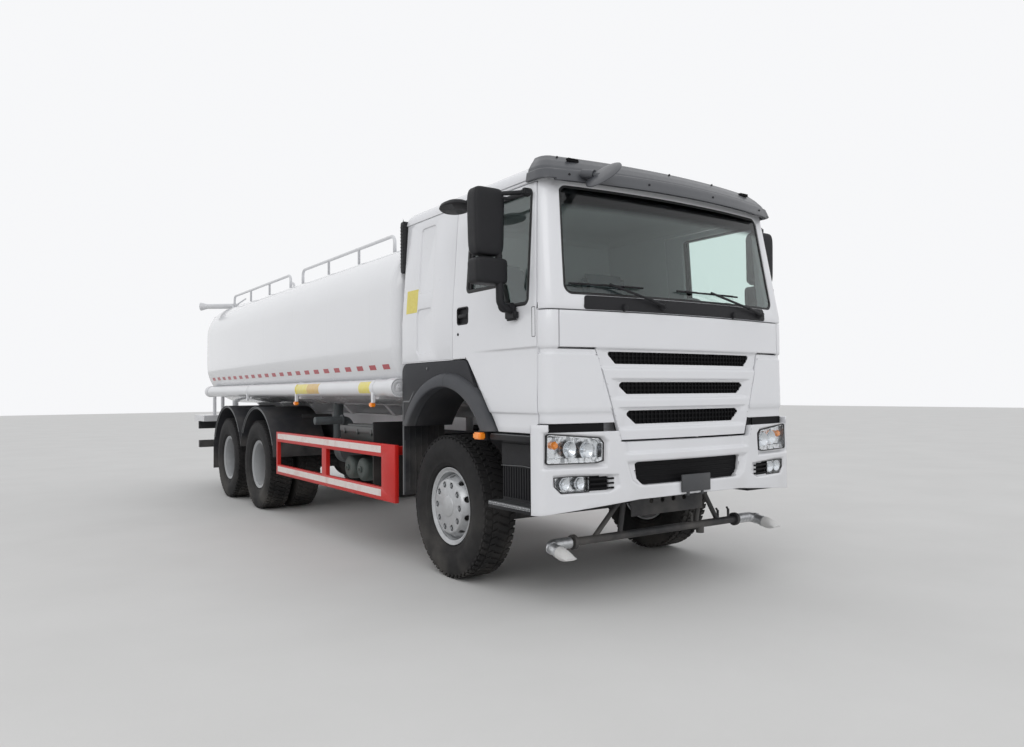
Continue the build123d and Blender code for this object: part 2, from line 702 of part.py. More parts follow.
# ties back to the frame's front ends
for side in (-1, 1):
    tie_x = sorted((side * (rail_outside + seat_gap), side * (rail_outside + 60)))
    bumper += block(tie_x, (bumper_front + bumper_wall - 5 + 12, frame_front + 140), (960, 1040))
write_node("bumper", bumper)

# Black inserts: behind the central intake, in the slots above the headlamps and beside the fogs.
intake_back = bumper_skin(bumper_wall, bumper_wall + 10) & front_prism(
    [(-560, 960), (-560, 770), (560, 770), (560, 960)], (-1700, -1100))
slot_back = (bumper_skin(bumper_wall, bumper_wall + 10) & front_prism(
    [(740, lamp_shelf - 30), (740, panel_bottom - 2), (1188, panel_bottom - 2),
     (1188, lamp_shelf - 30)], (-1700, -1100)))
fog_split = 880
louvre = bumper_skin(12, bumper_wall) & front_prism(fog_points, (-1700, -1100)) & block(
    (700, fog_split), (-1700, -1000), (600, 1000))
for z in (800, 830):
    louvre -= bumper_skin(0, 34) & block((700, fog_split), (-1700, -1000), (z - 9, z + 9))
write_node("bumper_inserts", intake_back, slot_back, mirrored(slot_back), louvre, mirrored(louvre))

# Headlamps and fog lamps fill their pockets and follow the bumper's curve.
headlamp = bumper_skin(5, bumper_wall) & front_prism(headlamp_points, (-1700, -1100))
fog_lamp = bumper_skin(8, bumper_wall) & front_prism(fog_points, (-1700, -1100)) & block(
    (fog_split, wide), (-1700, -1000), (600, 1000))
write_node("front_lamps", headlamp, mirrored(headlamp), fog_lamp, mirrored(fog_lamp))

# Roof visor: a deep moulding that overhangs the windscreen.
visor_levels = [
    # z, half width, front, bow, corner, rear
    (seam_z - 36, 1150, -1392, 120, 95, -1060),
    (seam_z + 56, 1131, -1351, 120, 95, -1056),
    (seam_z + 61, 1120, -1340, 120, 95, -1056),
    (seam_z + 190, 1010, -1190, 90, 60, -1010),
]


def visor_form(inset, lift):
    return loft([plan_section(z + lift, half, front, rear + inset, bow, corner, inset)
                 for z, half, front, bow, corner, rear in visor_levels], ruled=True)


visor = visor_form(0, 0) - visor_form(32, -26)
wing_cut_z = door_top + door_gap
for side in (-1, 1):
    door_sweep = sorted((side * (cab_top_half_width - 70), side * wide))
    visor -= block(door_sweep, (door_front - 75, 0), (seam_z - 100, wing_cut_z))
visor = visor - cab_form(-2) - (roof_form(-2, -2) & block((-wide, wide), (-2000, 2000), (seam_z, 3200)))
# round mirror on an arm at the visor's kerb end
front_mirror = Vector(-800, front_end + 5, seam_z - 14)
mirror_back = Plane(origin=front_mirror, z_dir=(-0.68, -0.08, 0.72))
visor += rod((-860, front_end + 150, seam_z + 22), front_mirror, 19)
visor += mirror_back * extrude(Circle(130), amount=22)
write_node("roof_visor", visor)

# Door mirrors: a main and a wide-angle housing on an arm, and a kerb mirror on the right side.
mirror_table = [
    # x low, x high, y low, y high, z low, z high: main housing, wide-angle housing
    ((1262, 1498), (-1000, -872), (2300, 2745)),
    ((1246, 1492), (-1010, -865), (2112, 2286)),
]
spine_x, spine_y = 1300, -978
mirror_arm = bent_tube([(1192, -1095, 2712), (1240, -1030, 2712), (spine_x, spine_y, 2712),
                        (spine_x, spine_y, 1945), (1215, spine_y, 1945)], 28, 15)
mirror_foot = block((cab_half_width + seat_gap, cab_half_width + 38), (-1025, -935), (1890, 1975))
mirror_head = block((1128, 1205), (-1128, -1078), (2690, 2734)) - cab_form(-seat_gap)
mirror_set = mirror_arm + mirror_foot + mirror_head
for x, y, z in mirror_table:
    housing = block(x, y, z)
    housing = fillet(housing.edges().filter_by(Axis.Z), 38)
    housing -= block((x[0] + 42, x[1] - 42), (y[1] - 5, y[1] + 1), (z[0] + 14, z[1] - 14))
    mirror_set += housing
write_node("mirrors_left", mirror_set)
kerb_x, kerb_y, kerb_z = -1335, -470, 2712
kerb_mirror = Pos(kerb_x, kerb_y, kerb_z) * Rot(0, 12, 0) * extrude(Ellipse(95, 165), amount=26)
kerb_mirror += rod((kerb_x, kerb_y, kerb_z + 14), (kerb_x, spine_y + 40, kerb_z + 14), 12)
write_node("mirrors_right", mirrored(mirror_set) + kerb_mirror)

# Front mudguards: black side panel, flared arch lip, liner and rear flap in one moulding.
flare_outer = 757
flap_y = cab_rear - 12
mudguards = []
for side in (-1, 1):
    panel_points = [(cab_rear, fender_top), (fender_corner, fender_top),
                    (fender_edge(skirt_z + 5), skirt_z + 5), (cab_rear, skirt_z + 5)]
    panel_x = sorted((side * (cab_half_width - 30), side * cab_half_width))
    panel = side_prism(panel_points, panel_x)
    lip_x = sorted((side * (cab_half_width - 30), side * guard_face))
    lip = Pos((lip_x[0] + lip_x[1]) / 2, arch_y, arch_z) * Rot(0, 90, 0) * Cylinder(
        flare_outer, lip_x[1] - lip_x[0])
    lip = lip & side_prism(panel_points, lip_x)
    liner_x = sorted((side * (wheelhouse_x + 38), side * (cab_half_width - 20)))
    liner = Pos((liner_x[0] + liner_x[1]) / 2, arch_y, arch_z) * Rot(0, 90, 0) * Cylinder(
        arch_inner + liner_thickness, liner_x[1] - liner_x[0])
    void = Pos(0, arch_y, arch_z) * Rot(0, 90, 0) * Cylinder(arch_inner, 3 * wide)
    low = block((-wide, wide), (-2000, 2000), (-100, skirt_z + 5))
    guard = (panel + lip + liner) - void - low
    rear_flap = block(sorted((side * 790, side * 1175)), (flap_y - 10, flap_y), (560, 1330))
    shelf = block(sorted((side * 820, side * 1175)), (arch_y + arch_inner - 300, flap_y),
                  (1300, 1340)) - void
    mudguards.append(guard + rear_flap + shelf)
write_node("front_mudguards", *mudguards)

# Cab steps: two treads on a riser, hung from the frame's outriggers.
steps_y = (-1198, -695)
step_solids = []
for side in (-1, 1):
    outline = [(860, 625), (1222, 625), (1222, 668), (1100, 668), (1100, 1085), (1205, 1085),
               (1205, 1122), (860, 1122)]
    step = front_prism([(side * x, z) for x, z in outline], steps_y)
    arm_x = sorted((side * (rail_outside + seat_gap), side * 862))
    step += block(arm_x, (steps_y[0] + 180, steps_y[1] - 180), (rail_bottom + 40, rail_bottom + 120))
    step_solids.append(step)
write_node("cab_steps", *step_solids)

# Dashboard with the steering column and wheel, on the left-hand seat's side.
dash_outline = [(-1205, 1440), (-1205, 1985), (-1120, 2010), (-960, 1985), (-900, 1880),
                (-960, 1700), (-1060, 1640), (-1080, 1440)]
dash_half = cab_half_width - cab_wall - 75
dashboard = side_prism(dash_outline, (-dash_half, dash_half))
driver_x = 560
wheel_centre = Vector(driver_x, -760, 1985)
column = rod((driver_x, -1000, 1800), wheel_centre, 30)
steering = Plane(origin=wheel_centre, z_dir=(0, 0.62, 0.78)) * (
    Torus(225, 17) + Box(420, 40, 16) + Cylinder(70, 30))
dashboard = dashboard + column + steering
write_node("dashboard", dashboard)

# Seats for driver and mate, and the bunk along the back wall.
seat_floor = floor_z + floor_thickness + seat_gap
seat_solids = []
for x in (-driver_x, driver_x):
    base = block((x - 200, x + 200), (-420, 20), (seat_floor, seat_floor + 260))
    cushion = block((x - 250, x + 250), (-480, 40), (seat_floor + 255, seat_floor + 390))
    back = side_prism([(-10, seat_floor + 380), (120, seat_floor + 380), (210, seat_floor + 1010),
                       (110, seat_floor + 1030)], (x - 245, x + 245))
    seat_solids.append(base + fillet(cushion.edges(), 40) + back)
bunk_half = cab_half_width - cab_wall - 12
bunk_y = (240, cab_rear - cab_wall - seat_gap)
bunk = block((-wheelhouse_x + 8, wheelhouse_x - 8), bunk_y, (seat_floor, seat_floor + 250))
bunk += block((-bunk_half, bunk_half), bunk_y, (seat_floor + 240, seat_floor + 420))
seat_solids.append(bunk)
write_node("seats_and_bunk", *seat_solids)

# Air intake snorkel behind the cab's right corner.
intake_rear = tank_front - 20
intake_stack = block((-1150, -960), (cab_rear + 12, intake_rear), (2420, 2860))
intake_stack = fillet(intake_stack.edges().filter_by(Axis.X), 26)
intake_stack += block((-1090, -980), (cab_rear + 16, intake_rear - 6), (rail_top - 60, 2425))
intake_stack += block((-1085, -rail_outside - seat_gap), (cab_rear + 18, intake_rear - 10),
                      (rail_top - 60, rail_top - 5))
write_node("air_intake", intake_stack)


# Tank: one long body with bulged sides, deep corner radii and dished ends.
def tank_section(y, shrink):
    top, bottom = tank_top - shrink, tank_bottom + shrink
    half = tank_half_width - shrink
    edge_half, edge_top, edge_bottom = half - 22, top - 60, bottom + 14
    middle = (top + bottom) / 2
    edges = [
        ThreePointArc((-edge_half, edge_top), (0, top), (edge_half, edge_top)),
        ThreePointArc((edge_half, edge_top), (half, middle), (edge_half, edge_bottom)),
        ThreePointArc((edge_half, edge_bottom), (0, bottom), (-edge_half, edge_bottom)),
        ThreePointArc((-edge_half, edge_bottom), (-half, middle), (-edge_half, edge_top)),
    ]
    face = make_face(edges)
    upper = face.vertices().group_by(Axis.Y)[-1]
    face = fillet(upper, tank_top_radius - shrink)
    lower = [v for v in face.vertices() if v.Y < (bottom + 60)]
    face = fillet(lower, tank_bottom_radius - shrink)
    return Plane.XZ.offset(-y) * face


head_depth = 90
tank = extrude(tank_section(tank_rear - head_depth, 0), amount=tank_rear - tank_front - 2 * head_depth)
tank += loft([tank_section(tank_front + head_depth, 0), tank_section(tank_front + 32, 26),
              tank_section(tank_front, 110)], ruled=True)
tank += loft([tank_section(tank_rear - head_depth, 0), tank_section(tank_rear - 32, 26),
              tank_section(tank_rear, 110)], ruled=True)
manhole_y = tank_front + 3560
manhole_radius = 270
collar_top = tank_top + 62
collar = Pos(0, manhole_y, (tank_top - 120 + collar_top) / 2) * Cylinder(
    manhole_radius, collar_top - tank_top + 120)
tank += collar
# two ears that carry the lid's hinge pin
lid_thickness = 28
lid_z = collar_top + seat_gap + lid_thickness / 2
hinge_y = manhole_y - manhole_radius - 50
hinge_pin_radius = 8
for x in (-76, 76):
    tank += block((x - 10, x + 10), (hinge_y - 20, hinge_y + 20), (tank_top - 80, lid_z + 16))
tank -= Pos(0, hinge_y, lid_z) * Rot(0, 90, 0) * Cylinder(hinge_pin_radius + running_gap, 240)
write_node("tank", tank)

# Manhole lid, hinged at its front edge.
lid = Pos(0, manhole_y, lid_z) * Cylinder(manhole_radius + 22, lid_thickness)
lid += block((-60, 60), (hinge_y - 12, manhole_y - manhole_radius + 10),
             (lid_z - lid_thickness / 2, lid_z + lid_thickness / 2))
lid += Pos(0, hinge_y, lid_z) * Rot(0, 90, 0) * Cylinder(hinge_pin_radius, 2 * 84)
write_node("manhole_lid", lid)

guard_inner_x, guard_outer_x = 600, 1245     # rear mudguards

# Tank bearers: long sills on the rails with cross saddles under the tank.
saddle_count = 6
first_saddle, last_saddle = tank_front + 420, tank_rear - 460
saddle_pitch = (last_saddle - first_saddle) / (saddle_count - 1)
saddle_ys = [first_saddle + saddle_pitch * i for i in range(saddle_count)]
saddle_half = guard_inner_x - 20
bearers = None
for side in (-1, 1):
    sill = block(sorted((side * rail_outside, side * rail_inside)),
                 (tank_front + 120, tank_rear - 160), (rail_top + seat_gap, rail_top + 120))
    bearers = sill if bearers is None else bearers + sill
full_tank = extrude(tank_section(tank_rear, -seat_gap), amount=tank_rear - tank_front)
for y in saddle_ys:
    saddle = front_prism([(-saddle_half, rail_top + 250), (-saddle_half + 130, rail_top + 110),
                          (saddle_half - 130, rail_top + 110), (saddle_half, rail_top + 250),
                          (saddle_half, rail_top + 330), (-saddle_half, rail_top + 330)],
                         (y - 35, y + 35))
    bearers += saddle - full_tank
write_node("tank_bearers", bearers)

# Top handrails: bent white tube on short posts, two lengths on each side.
handrail_x = 800
handrail_top = 2925
handrail_radius = 17
handrail_spans = [
    # front, rear
    (tank_front + 800, tank_front + 3350),
    (tank_front + 3800, tank_rear - 130),
]
tank_shell_top = tank_top - 86
rails = []
for side in (-1, 1):
    x = side * handrail_x
    for start, end in handrail_spans:
        rail = bent_tube([(x, start, tank_shell_top - 60), (x, start, handrail_top),
                          (x, end, handrail_top), (x, end, tank_shell_top - 60)], 70, handrail_radius)
        for share in (1 / 3, 2 / 3):
            y = start + (end - start) * share
            rail += rod((x, y, tank_shell_top - 60), (x, y, handrail_top), handrail_radius - 3)
        rails.append(rail - full_tank)
breather_x, breather_y = -460, tank_front + 4660
breather = bent_tube([(breather_x, breather_y, tank_top - 80), (breather_x, breather_y, tank_top + 170),
                      (breather_x, breather_y + 150, tank_top + 170),
                      (breather_x, breather_y + 150, tank_top + 60)], 60, 16) - full_tank
rails.append(breather)
write_node("handrails", *[rail.solids().sort_by(SortBy.VOLUME)[-1] for rail in rails])

# Side hose tubes with a round cap at each end, on brackets under the tank's flank.
tube_front, tube_rear = tank_front + 60, tank_rear - 180
tube_brackets = [tank_front + 400, tank_front + 2400, tank_front + 4250]
tube_solids = []
for side in (-1, 1):
    x = side * hose_tube_x
    tube = rod((x, tube_front, hose_tube_z), (x, tube_rear, hose_tube_z), hose_tube_radius)
    tube += rod((x, tube_front - 70, hose_tube_z), (x, tube_front + 70, hose_tube_z),
                hose_tube_radius + 9)
    tube += rod((x, tube_rear - 70, hose_tube_z), (x, tube_rear + 60, hose_tube_z),
                hose_tube_radius + 7)
    for y in tube_brackets:
        hanger = block(sorted((side * 820, side * (hose_tube_x + 20))), (y - 30, y + 30),
                       (hose_tube_z - hose_tube_radius - 24, hose_tube_z - hose_tube_radius + 6))
        tube += hanger - full_tank
    tube_solids.append(tube)
write_node("hose_tubes", *tube_solids)

# Side guards: two rails on posts, with arms back to the frame.
guard_y = (cab_rear + 25, wheelbase - 790)
guard_rails = [(490, 602), (862, 975)]
guard_posts = [
    # start, end
    (guard_y[0], guard_y[0] + 262),
    (guard_y[0] + 1540, guard_y[0] + 1660),
    (guard_y[1] - 45, guard_y[1]),
]
guard_arms = [guard_y[0] + 130, guard_y[0] + 1600]
guards = []
for side in (-1, 1):
    face_x = sorted((side * (guard_face - guard_tube), side * guard_face))
    guard = None
    for z in guard_rails:
        rail = block(face_x, guard_y, z)
        guard = rail if guard is None else guard + rail
    for start, end in guard_posts:
        guard += block(face_x, (start, end), (guard_rails[0][0], guard_rails[1][1]))
    for y in guard_arms:
        arm_x = sorted((side * (rail_outside + seat_gap), side * (guard_face - guard_tube + 2)))
        guard += block(arm_x, (y - 28, y + 28), (guard_rails[1][0] + 20, guard_rails[1][1] - 20))
    guards.append(guard)
write_node("side_guards", *guards)

# Fuel tank on the left, battery box and air tanks on the right, all hung on the frame.
store_x = (rail_outside + seat_gap, 1120)
fuel = block(store_x, (guard_y[0] + 330, guard_y[0] + 1420), (470, 845))
fuel = fillet(fuel.edges().filter_by(Axis.Y), 70)
for y in (guard_y[0] + 560, guard_y[0] + 1150):
    strap = block((store_x[0], store_x[1] + 5), (y, y + 50), (465, 850))
    fuel += fillet(strap.edges().filter_by(Axis.Y), 74)
fuel += Pos(900, guard_y[0] + 440, 845) * Cylinder(62, 50)
fuel += block((rail_outside + seat_gap, 520), (guard_y[0] + 500, guard_y[0] + 560), (600, rail_top - 60))
write_node("fuel_tank", fuel)

battery_y = (guard_y[0] + 605, guard_y[0] + 1455)
battery_z = (870, 1095)
battery = block((-1120, -700), battery_y, battery_z)
battery += block((-1127, -693), (battery_y[0] - 7, battery_y[1] + 7), (battery_z[1] - 50, battery_z[1]))
for x in (-1040, -910, -780):
    battery += block((x - 18, x + 18), (battery_y[0] + 30, battery_y[1] - 30),
                     (battery_z[1] - 1, battery_z[1] + 14))
battery += block((-1010, -rail_outside - seat_gap), (battery_y[0] + 80, battery_y[1] - 80), (1000, 1045))
battery += block((-1170, -560), (battery_y[0] - 30, battery_y[0] - 12), (470, battery_z[1] + 55))
battery += block((-1120, -1080), (battery_y[0] - 14, battery_y[0] + 30), (1000, 1100))
air_tank_radius = 112
air_tank_ys = [battery_y[0] + 410, battery_y[0] + 710]
air_tanks = []
for y in air_tank_ys:
    cylinder = Pos(-790, y, 690) * Rot(0, 90, 0) * Cylinder(air_tank_radius, 620)
    cylinder = fillet(cylinder.edges(), 38)
    cylinder += block((-560, -500), (y - 30, y + 30), (690, 800 + 60))
    cylinder += block((-560, -rail_outside - seat_gap), (y - 30, y + 30), (800, 860))
    air_tanks.append(cylinder)
write_node("battery_and_air_tanks", battery, *air_tanks)

# Water pump with its suction pipe from the tank and its delivery pipe.
pump_y = guard_y[0] + 2180
pump = Pos(-720, pump_y, 800) * Rot(90, 0, 0) * Cylinder(150, 190)
pump += block((-800, -rail_outside - seat_gap), (pump_y - 70, pump_y + 70), (820, 900))
pump += bent_tube([(-720, pump_y + 60, 800), (-720, pump_y + 330, 800),
                   (-720, pump_y + 330, tank_bottom + 60)], 110, 55) - full_tank
delivery_z = 1120
delivery_radius = 42
delivery_bend = 70
flange_x, flange_radius, flange_sheet = -800, 62, 20
delivery_length = 300
pump += bent_tube([(-720, pump_y, 900), (-720, pump_y, delivery_z),
                   (flange_x - flange_sheet / 2, pump_y, delivery_z)], delivery_bend, delivery_radius)
pump += rod((flange_x, pump_y, delivery_z), (flange_x - flange_sheet, pump_y, delivery_z), flange_radius)
pump += rod((flange_x - flange_sheet, pump_y, delivery_z),
            (flange_x - flange_sheet - delivery_length, pump_y, delivery_z), delivery_radius)
write_node("water_pump", pump)

# Rear mudguards: an arched sheet over each twin wheel, joined between the axles, and a flap.
guard_radius = 700
guard_sheet = 12
rear_guards = []
for side in (-1, 1):
    lane = sorted((side * guard_inner_x, side * guard_outer_x))
    arches = None
    for y in rear_axles:
        arch = Pos((lane[0] + lane[1]) / 2, y, axle_z) * Rot(0, 90, 0) * Cylinder(
            guard_radius + guard_sheet, lane[1] - lane[0])
        arches = arch if arches is None else arches + arch
    for y in rear_axles:
        arches -= Pos(0, y, axle_z) * Rot(0, 90, 0) * Cylinder(guard_radius, 3 * wide)
    keep = block(lane, (rear_axles[0] - 900, rear_axles[1] + 900), (axle_z + 130, 1400))
    arches = arches & keep
    flap_back = rear_axles[1] + guard_radius
    arches += block(lane, (flap_back - 6, flap_back + 8), (350, axle_z + 150))
    for y in (rear_axles[0] - 420, rear_axles[1] + 420):
        top = axle_z + math.sqrt((guard_radius + guard_sheet) ** 2 - min(
            (y - axle) ** 2 for axle in rear_axles))
        stay_x = sorted((side * (rail_outside + seat_gap), side * (guard_inner_x + 200)))
        arches += block(stay_x, (y - 25, y + 25), (top - 4, top + 40))
    rear_guards.append(arches)
write_node("rear_mudguards", *rear_guards)

# Rear platform: tread deck on the frame end, an upper stand with rails and the riser pipe.
deck_z = (rail_top - 60, rail_top + 30)
deck_y = (tank_rear + 60, rear_end)
deck_half = 1205
platform = block((-deck_half, deck_half), deck_y, deck_z)
platform -= block((-rail_outside - 1, rail_outside + 1), (0, frame_rear + 1), (rail_bottom, rail_top + 1))
stand_z = 1700
stand_y = (tank_rear + 70, rear_end - 60)
stand_half = 950
platform += block((-stand_half, stand_half), stand_y, (stand_z, stand_z + 40))
post_radius = 21
for x in (-stand_half + 30, stand_half - 30):
    for y in (stand_y[0] + 30, stand_y[1] - 30):
        platform += rod((x, y, deck_z[1] - 5), (x, y, stand_z + 5), post_radius + 6)
rail_line = [(-stand_half + 30, stand_y[0] + 40), (-stand_half + 30, stand_y[1] - 30),
             (stand_half - 30, stand_y[1] - 30), (stand_half - 30, stand_y[0] + 40)]
rail_posts = [(rail_line[0][0], rail_line[0][1] + 24), (rail_line[3][0], rail_line[3][1] + 24),
              (rail_line[1][0] + 70, rail_line[1][1]), (rail_line[2][0] - 70, rail_line[2][1]),
              (0, rail_line[1][1])]
for x, y in rail_posts:
    platform += rod((x, y, stand_z + 30), (x, y, stand_z + 940), post_radius - 4)
for z in (stand_z + 500, stand_z + 940):
    platform += bent_tube([(x, y, z) for x, y in rail_line], 60, post_radius)
riser_x, riser_y = -690, tank_rear + 230
riser_top = tank_top - 85
platform += rod((riser_x, riser_y, deck_z[1] - 5), (riser_x, riser_y, riser_top), 45)
platform += rod((riser_x, riser_y, riser_top - 24), (riser_x, riser_y, riser_top), 80)
spigot_radius, spigot_length = 30, 60
platform -= Pos(riser_x, riser_y, riser_top) * Cylinder(
    spigot_radius + running_gap, 2 * spigot_length + 20)
ladder_x = (200, 520)
for x in ladder_x:
    platform += rod((x, rear_end - 30, 480), (x, rear_end - 30, stand_z + 10), 16)
for i in range(5):
    z = 520 + 235 * i
    platform += rod((ladder_x[0], rear_end - 30, z), (ladder_x[1], rear_end - 30, z), 13)
write_node("rear_platform", platform)

# Water cannon: a forked swivel on the riser and a barrel that tilts on its trunnion.
swivel_z = riser_top + seat_gap
cannon_z = riser_top + 115
ear_y = 56
trunnion_radius = 14
barrel_radius = 40
barrel_back, barrel_tip = -40, 440
aim = Vector(-0.80, 0.60, 0)
swivel_plane = Plane(origin=(riser_x, riser_y, cannon_z), x_dir=aim, z_dir=(0, 0, 1))
swivel = Pos(riser_x, riser_y, swivel_z + 10) * Cylinder(80, 20)
swivel += Pos(riser_x, riser_y, swivel_z + 26) * Cylinder(48, 20)
swivel += Pos(riser_x, riser_y, swivel_z - spigot_length / 2 + 5) * Cylinder(
    spigot_radius, spigot_length + 10)
swivel += swivel_plane * Pos(0, 0, swivel_z + 40 - cannon_z) * Box(90, 2 * (ear_y + 12), 16)
for side in (-1, 1):
    swivel += swivel_plane * Pos(0, side * (ear_y + 6), -22) * Box(70, 12, 104)
swivel -= swivel_plane * Rot(90, 0, 0) * Cylinder(trunnion_radius + running_gap, 4 * ear_y)
write_node("cannon_swivel", swivel)
barrel = Pos((barrel_back + barrel_tip) / 2, 0, 0) * Rot(0, 90, 0) * Cylinder(
    barrel_radius, barrel_tip - barrel_back)
barrel += Pos(barrel_tip + 55, 0, 0) * Rot(0, 90, 0) * Cone(barrel_radius - 8, 66, 130)
barrel += Rot(90, 0, 0) * Cylinder(trunnion_radius, 2 * (ear_y + 11))
barrel += rod((-20, 0, 20), (-170, 0, 120), 11)
write_node("cannon_barrel", swivel_plane * barrel)

# Underrun bar at the rear, hung from the frame on two brackets, with lamp boxes.
underrun = block((-1200, 1200), (rear_end - 330, rear_end - 250), (590, 700))
for side in (-1, 1):
    drop_x = sorted((side * rail_outside, side * (rail_outside - 60)))
    underrun += block(drop_x, (rear_end - 345, rear_end - 245), (640, rail_bottom - seat_gap))
tail_lamps = []
for side in (-1, 1):
    lamp = block(sorted((side * 760, side * 1150)), (rear_end - 60, rear_end - 10),
                 (deck_z[0] - 130, deck_z[0] - seat_gap))
    tail_lamps.append(lamp)
write_node("underrun_and_tail_lamps", underrun, *tail_lamps)

# Front spray bar: a cross pipe on struts, with an elbow and a flattened nozzle at each end.
spray_y, spray_z = -1105, 400
spray_half = 900
pipe_radius, elbow_radius = 28, 38
spray = rod((-spray_half, spray_y, spray_z), (spray_half, spray_y, spray_z), pipe_radius)
nozzles = []
for side in (-1, 1):
    for top_x, foot_x in ((rail_outside - 40, rail_outside - 40), (rail_outside - 40, rail_outside + 190)):
        spray += rod((side * top_x, frame_front + 30, rail_bottom - 22),
                     (side * foot_x, spray_y + 8, spray_z + 16), 18)
    spray += block(sorted((side * (rail_outside - 75), side * (rail_outside - 5))),
                   (frame_front + 5, frame_front + 60), (rail_bottom - 30, rail_bottom - seat_gap))
    bend = Vector(side * (spray_half + 120), spray_y, spray_z)
    aim = Vector(0, -115, -24)
    mouth = bend + aim
    spray += bent_tube([(side * (spray_half - 60), spray_y, spray_z), bend, mouth], 60, elbow_radius)
    plane = Plane(origin=mouth, x_dir=(0, 0, 1), z_dir=aim)
    nozzle = loft([plane * Circle(40), plane.offset(40) * Circle(42), plane.offset(130) * Ellipse(8, 44)])
    nozzles.append(nozzle)
write_node("front_spray_bar", spray, *nozzles)
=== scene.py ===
import json
import math

import bmesh
import bpy
from mathutils import Matrix, Vector


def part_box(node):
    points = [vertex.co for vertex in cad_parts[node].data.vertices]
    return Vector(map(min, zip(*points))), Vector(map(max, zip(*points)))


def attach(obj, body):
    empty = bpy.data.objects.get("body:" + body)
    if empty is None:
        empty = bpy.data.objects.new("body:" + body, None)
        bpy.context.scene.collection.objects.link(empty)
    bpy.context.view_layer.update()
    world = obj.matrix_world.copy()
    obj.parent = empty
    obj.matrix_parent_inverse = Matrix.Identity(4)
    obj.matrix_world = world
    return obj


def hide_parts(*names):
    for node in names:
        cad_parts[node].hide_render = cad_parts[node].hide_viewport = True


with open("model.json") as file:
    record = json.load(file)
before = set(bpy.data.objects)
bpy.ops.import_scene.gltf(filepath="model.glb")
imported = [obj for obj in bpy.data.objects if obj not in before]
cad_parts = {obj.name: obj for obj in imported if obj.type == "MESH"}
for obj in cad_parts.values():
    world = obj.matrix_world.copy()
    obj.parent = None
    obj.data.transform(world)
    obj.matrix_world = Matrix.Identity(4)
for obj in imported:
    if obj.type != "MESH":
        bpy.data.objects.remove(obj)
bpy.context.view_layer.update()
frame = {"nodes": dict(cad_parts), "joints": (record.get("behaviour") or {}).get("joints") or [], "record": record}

# The chassis: two pressed channel rails with cross members, the axles and springs that hang from
# them, and the engine between them. Everything is dipped in one dark grey paint and gathers road
# dust towards the ground.


def maths(operation, turned=False):
    """An operator that adds a Math node; turned for its reflected form."""
    def operator(self, other):
        terms = (other, self) if turned else (self, other)
        return self.nodes.add("Math", {"operation": operation}, dict(enumerate(terms)))
    return operator


class Value:
    """A socket. Arithmetic on it adds Math nodes."""
    __add__ = __radd__ = maths("ADD")
    __sub__, __rsub__ = maths("SUBTRACT"), maths("SUBTRACT", True)
    __mul__ = __rmul__ = maths("MULTIPLY")
    __truediv__, __pow__ = maths("DIVIDE"), maths("POWER")
    __gt__, __lt__ = maths("GREATER_THAN"), maths("LESS_THAN")

    def __init__(self, nodes, socket):
        self.nodes, self.socket = nodes, socket

    def size(self):
        return self.nodes.add("Math", {"operation": "ABSOLUTE"}, {0: self})

    def over(self, low, high):
        """0 at low and 1 at high, smooth between."""
        return self.nodes.add("MapRange", {"interpolation_type": "SMOOTHSTEP"},
                              {0: self, 1: low, 2: high})


class Nodes:
    """A node tree that is written node by node."""

    def __init__(self, tree, family="ShaderNode"):
        self.tree, self.family = tree, family

    def add(self, kind, settings=None, sockets=None, output=0):
        node = self.tree.nodes.new(kind if "Node" in kind else self.family + kind)
        for label, value in (settings or {}).items():
            if label == "stops":
                for stop, (at, colour) in zip(node.color_ramp.elements, value):
                    stop.position, stop.color = at, (*colour, 1.0)
            else:
                setattr(node, label, value)
        for label, value in (sockets or {}).items():
            self.join(value, node.inputs[label])
        return Value(self, node.outputs[output]) if node.outputs else None

    def join(self, value, socket):
        if isinstance(value, Value):
            self.tree.links.new(value.socket, socket)
        elif isinstance(value, tuple) and len(value) == 3 and len(socket.default_value) == 4:
            socket.default_value = (*value, 1.0)
        else:
            socket.default_value = value


class Finish(Nodes):
    """One material: a Principled shader whose varying sockets are fed by nodes."""

    def __init__(self, name, colour, **constants):
        self.material = bpy.data.materials.new(name)
        self.material.use_nodes = True
        super().__init__(self.material.node_tree)
        self.shader = self.tree.nodes["Principled BSDF"]
        self.material.diffuse_color = (*colour, 1.0)
        self.shader.inputs["Base Color"].default_value = (*colour, 1.0)
        for label, value in constants.items():
            self.shader.inputs[label.replace("_", " ")].default_value = value
        self.place = self.add("TexCoord", output=3)

    def axis(self, output):
        """0, 1 or 2 for the X, Y or Z of a point on the truck, in metres."""
        return self.add("SeparateXYZ", None, {0: self.place}, output)

    def noise(self, scale, detail=3.0, stretch=None):
        where = self.place
        if stretch:
            where = self.add("Mapping", None, {"Vector": where, "Scale": stretch})
        return self.add("TexNoise", None, {"Vector": where, "Scale": scale, "Detail": detail})

    def mix(self, first, second, share):
        return self.add("Mix", {"data_type": "RGBA"}, {0: share, 6: first, 7: second}, 2)

    def feed(self, label, value):
        self.join(value, self.shader.inputs[label])

    def colour(self, first, second, share):
        self.feed("Base Color", self.mix(first, second, share))

    def gloss(self, scale, detail, spread, least):
        """Roughness that varies in clouds."""
        self.feed("Roughness", self.noise(scale, detail) * spread + least)

    def bump(self, height, depth, strength=1.0):
        self.feed("Normal", self.add("Bump", None, {"Height": height, "Distance": depth,
                                                    "Strength": strength}))

    def grain(self, scale, detail, depth, strength):
        self.bump(self.noise(scale, detail), depth, strength)


DUST = (0.36, 0.335, 0.30)


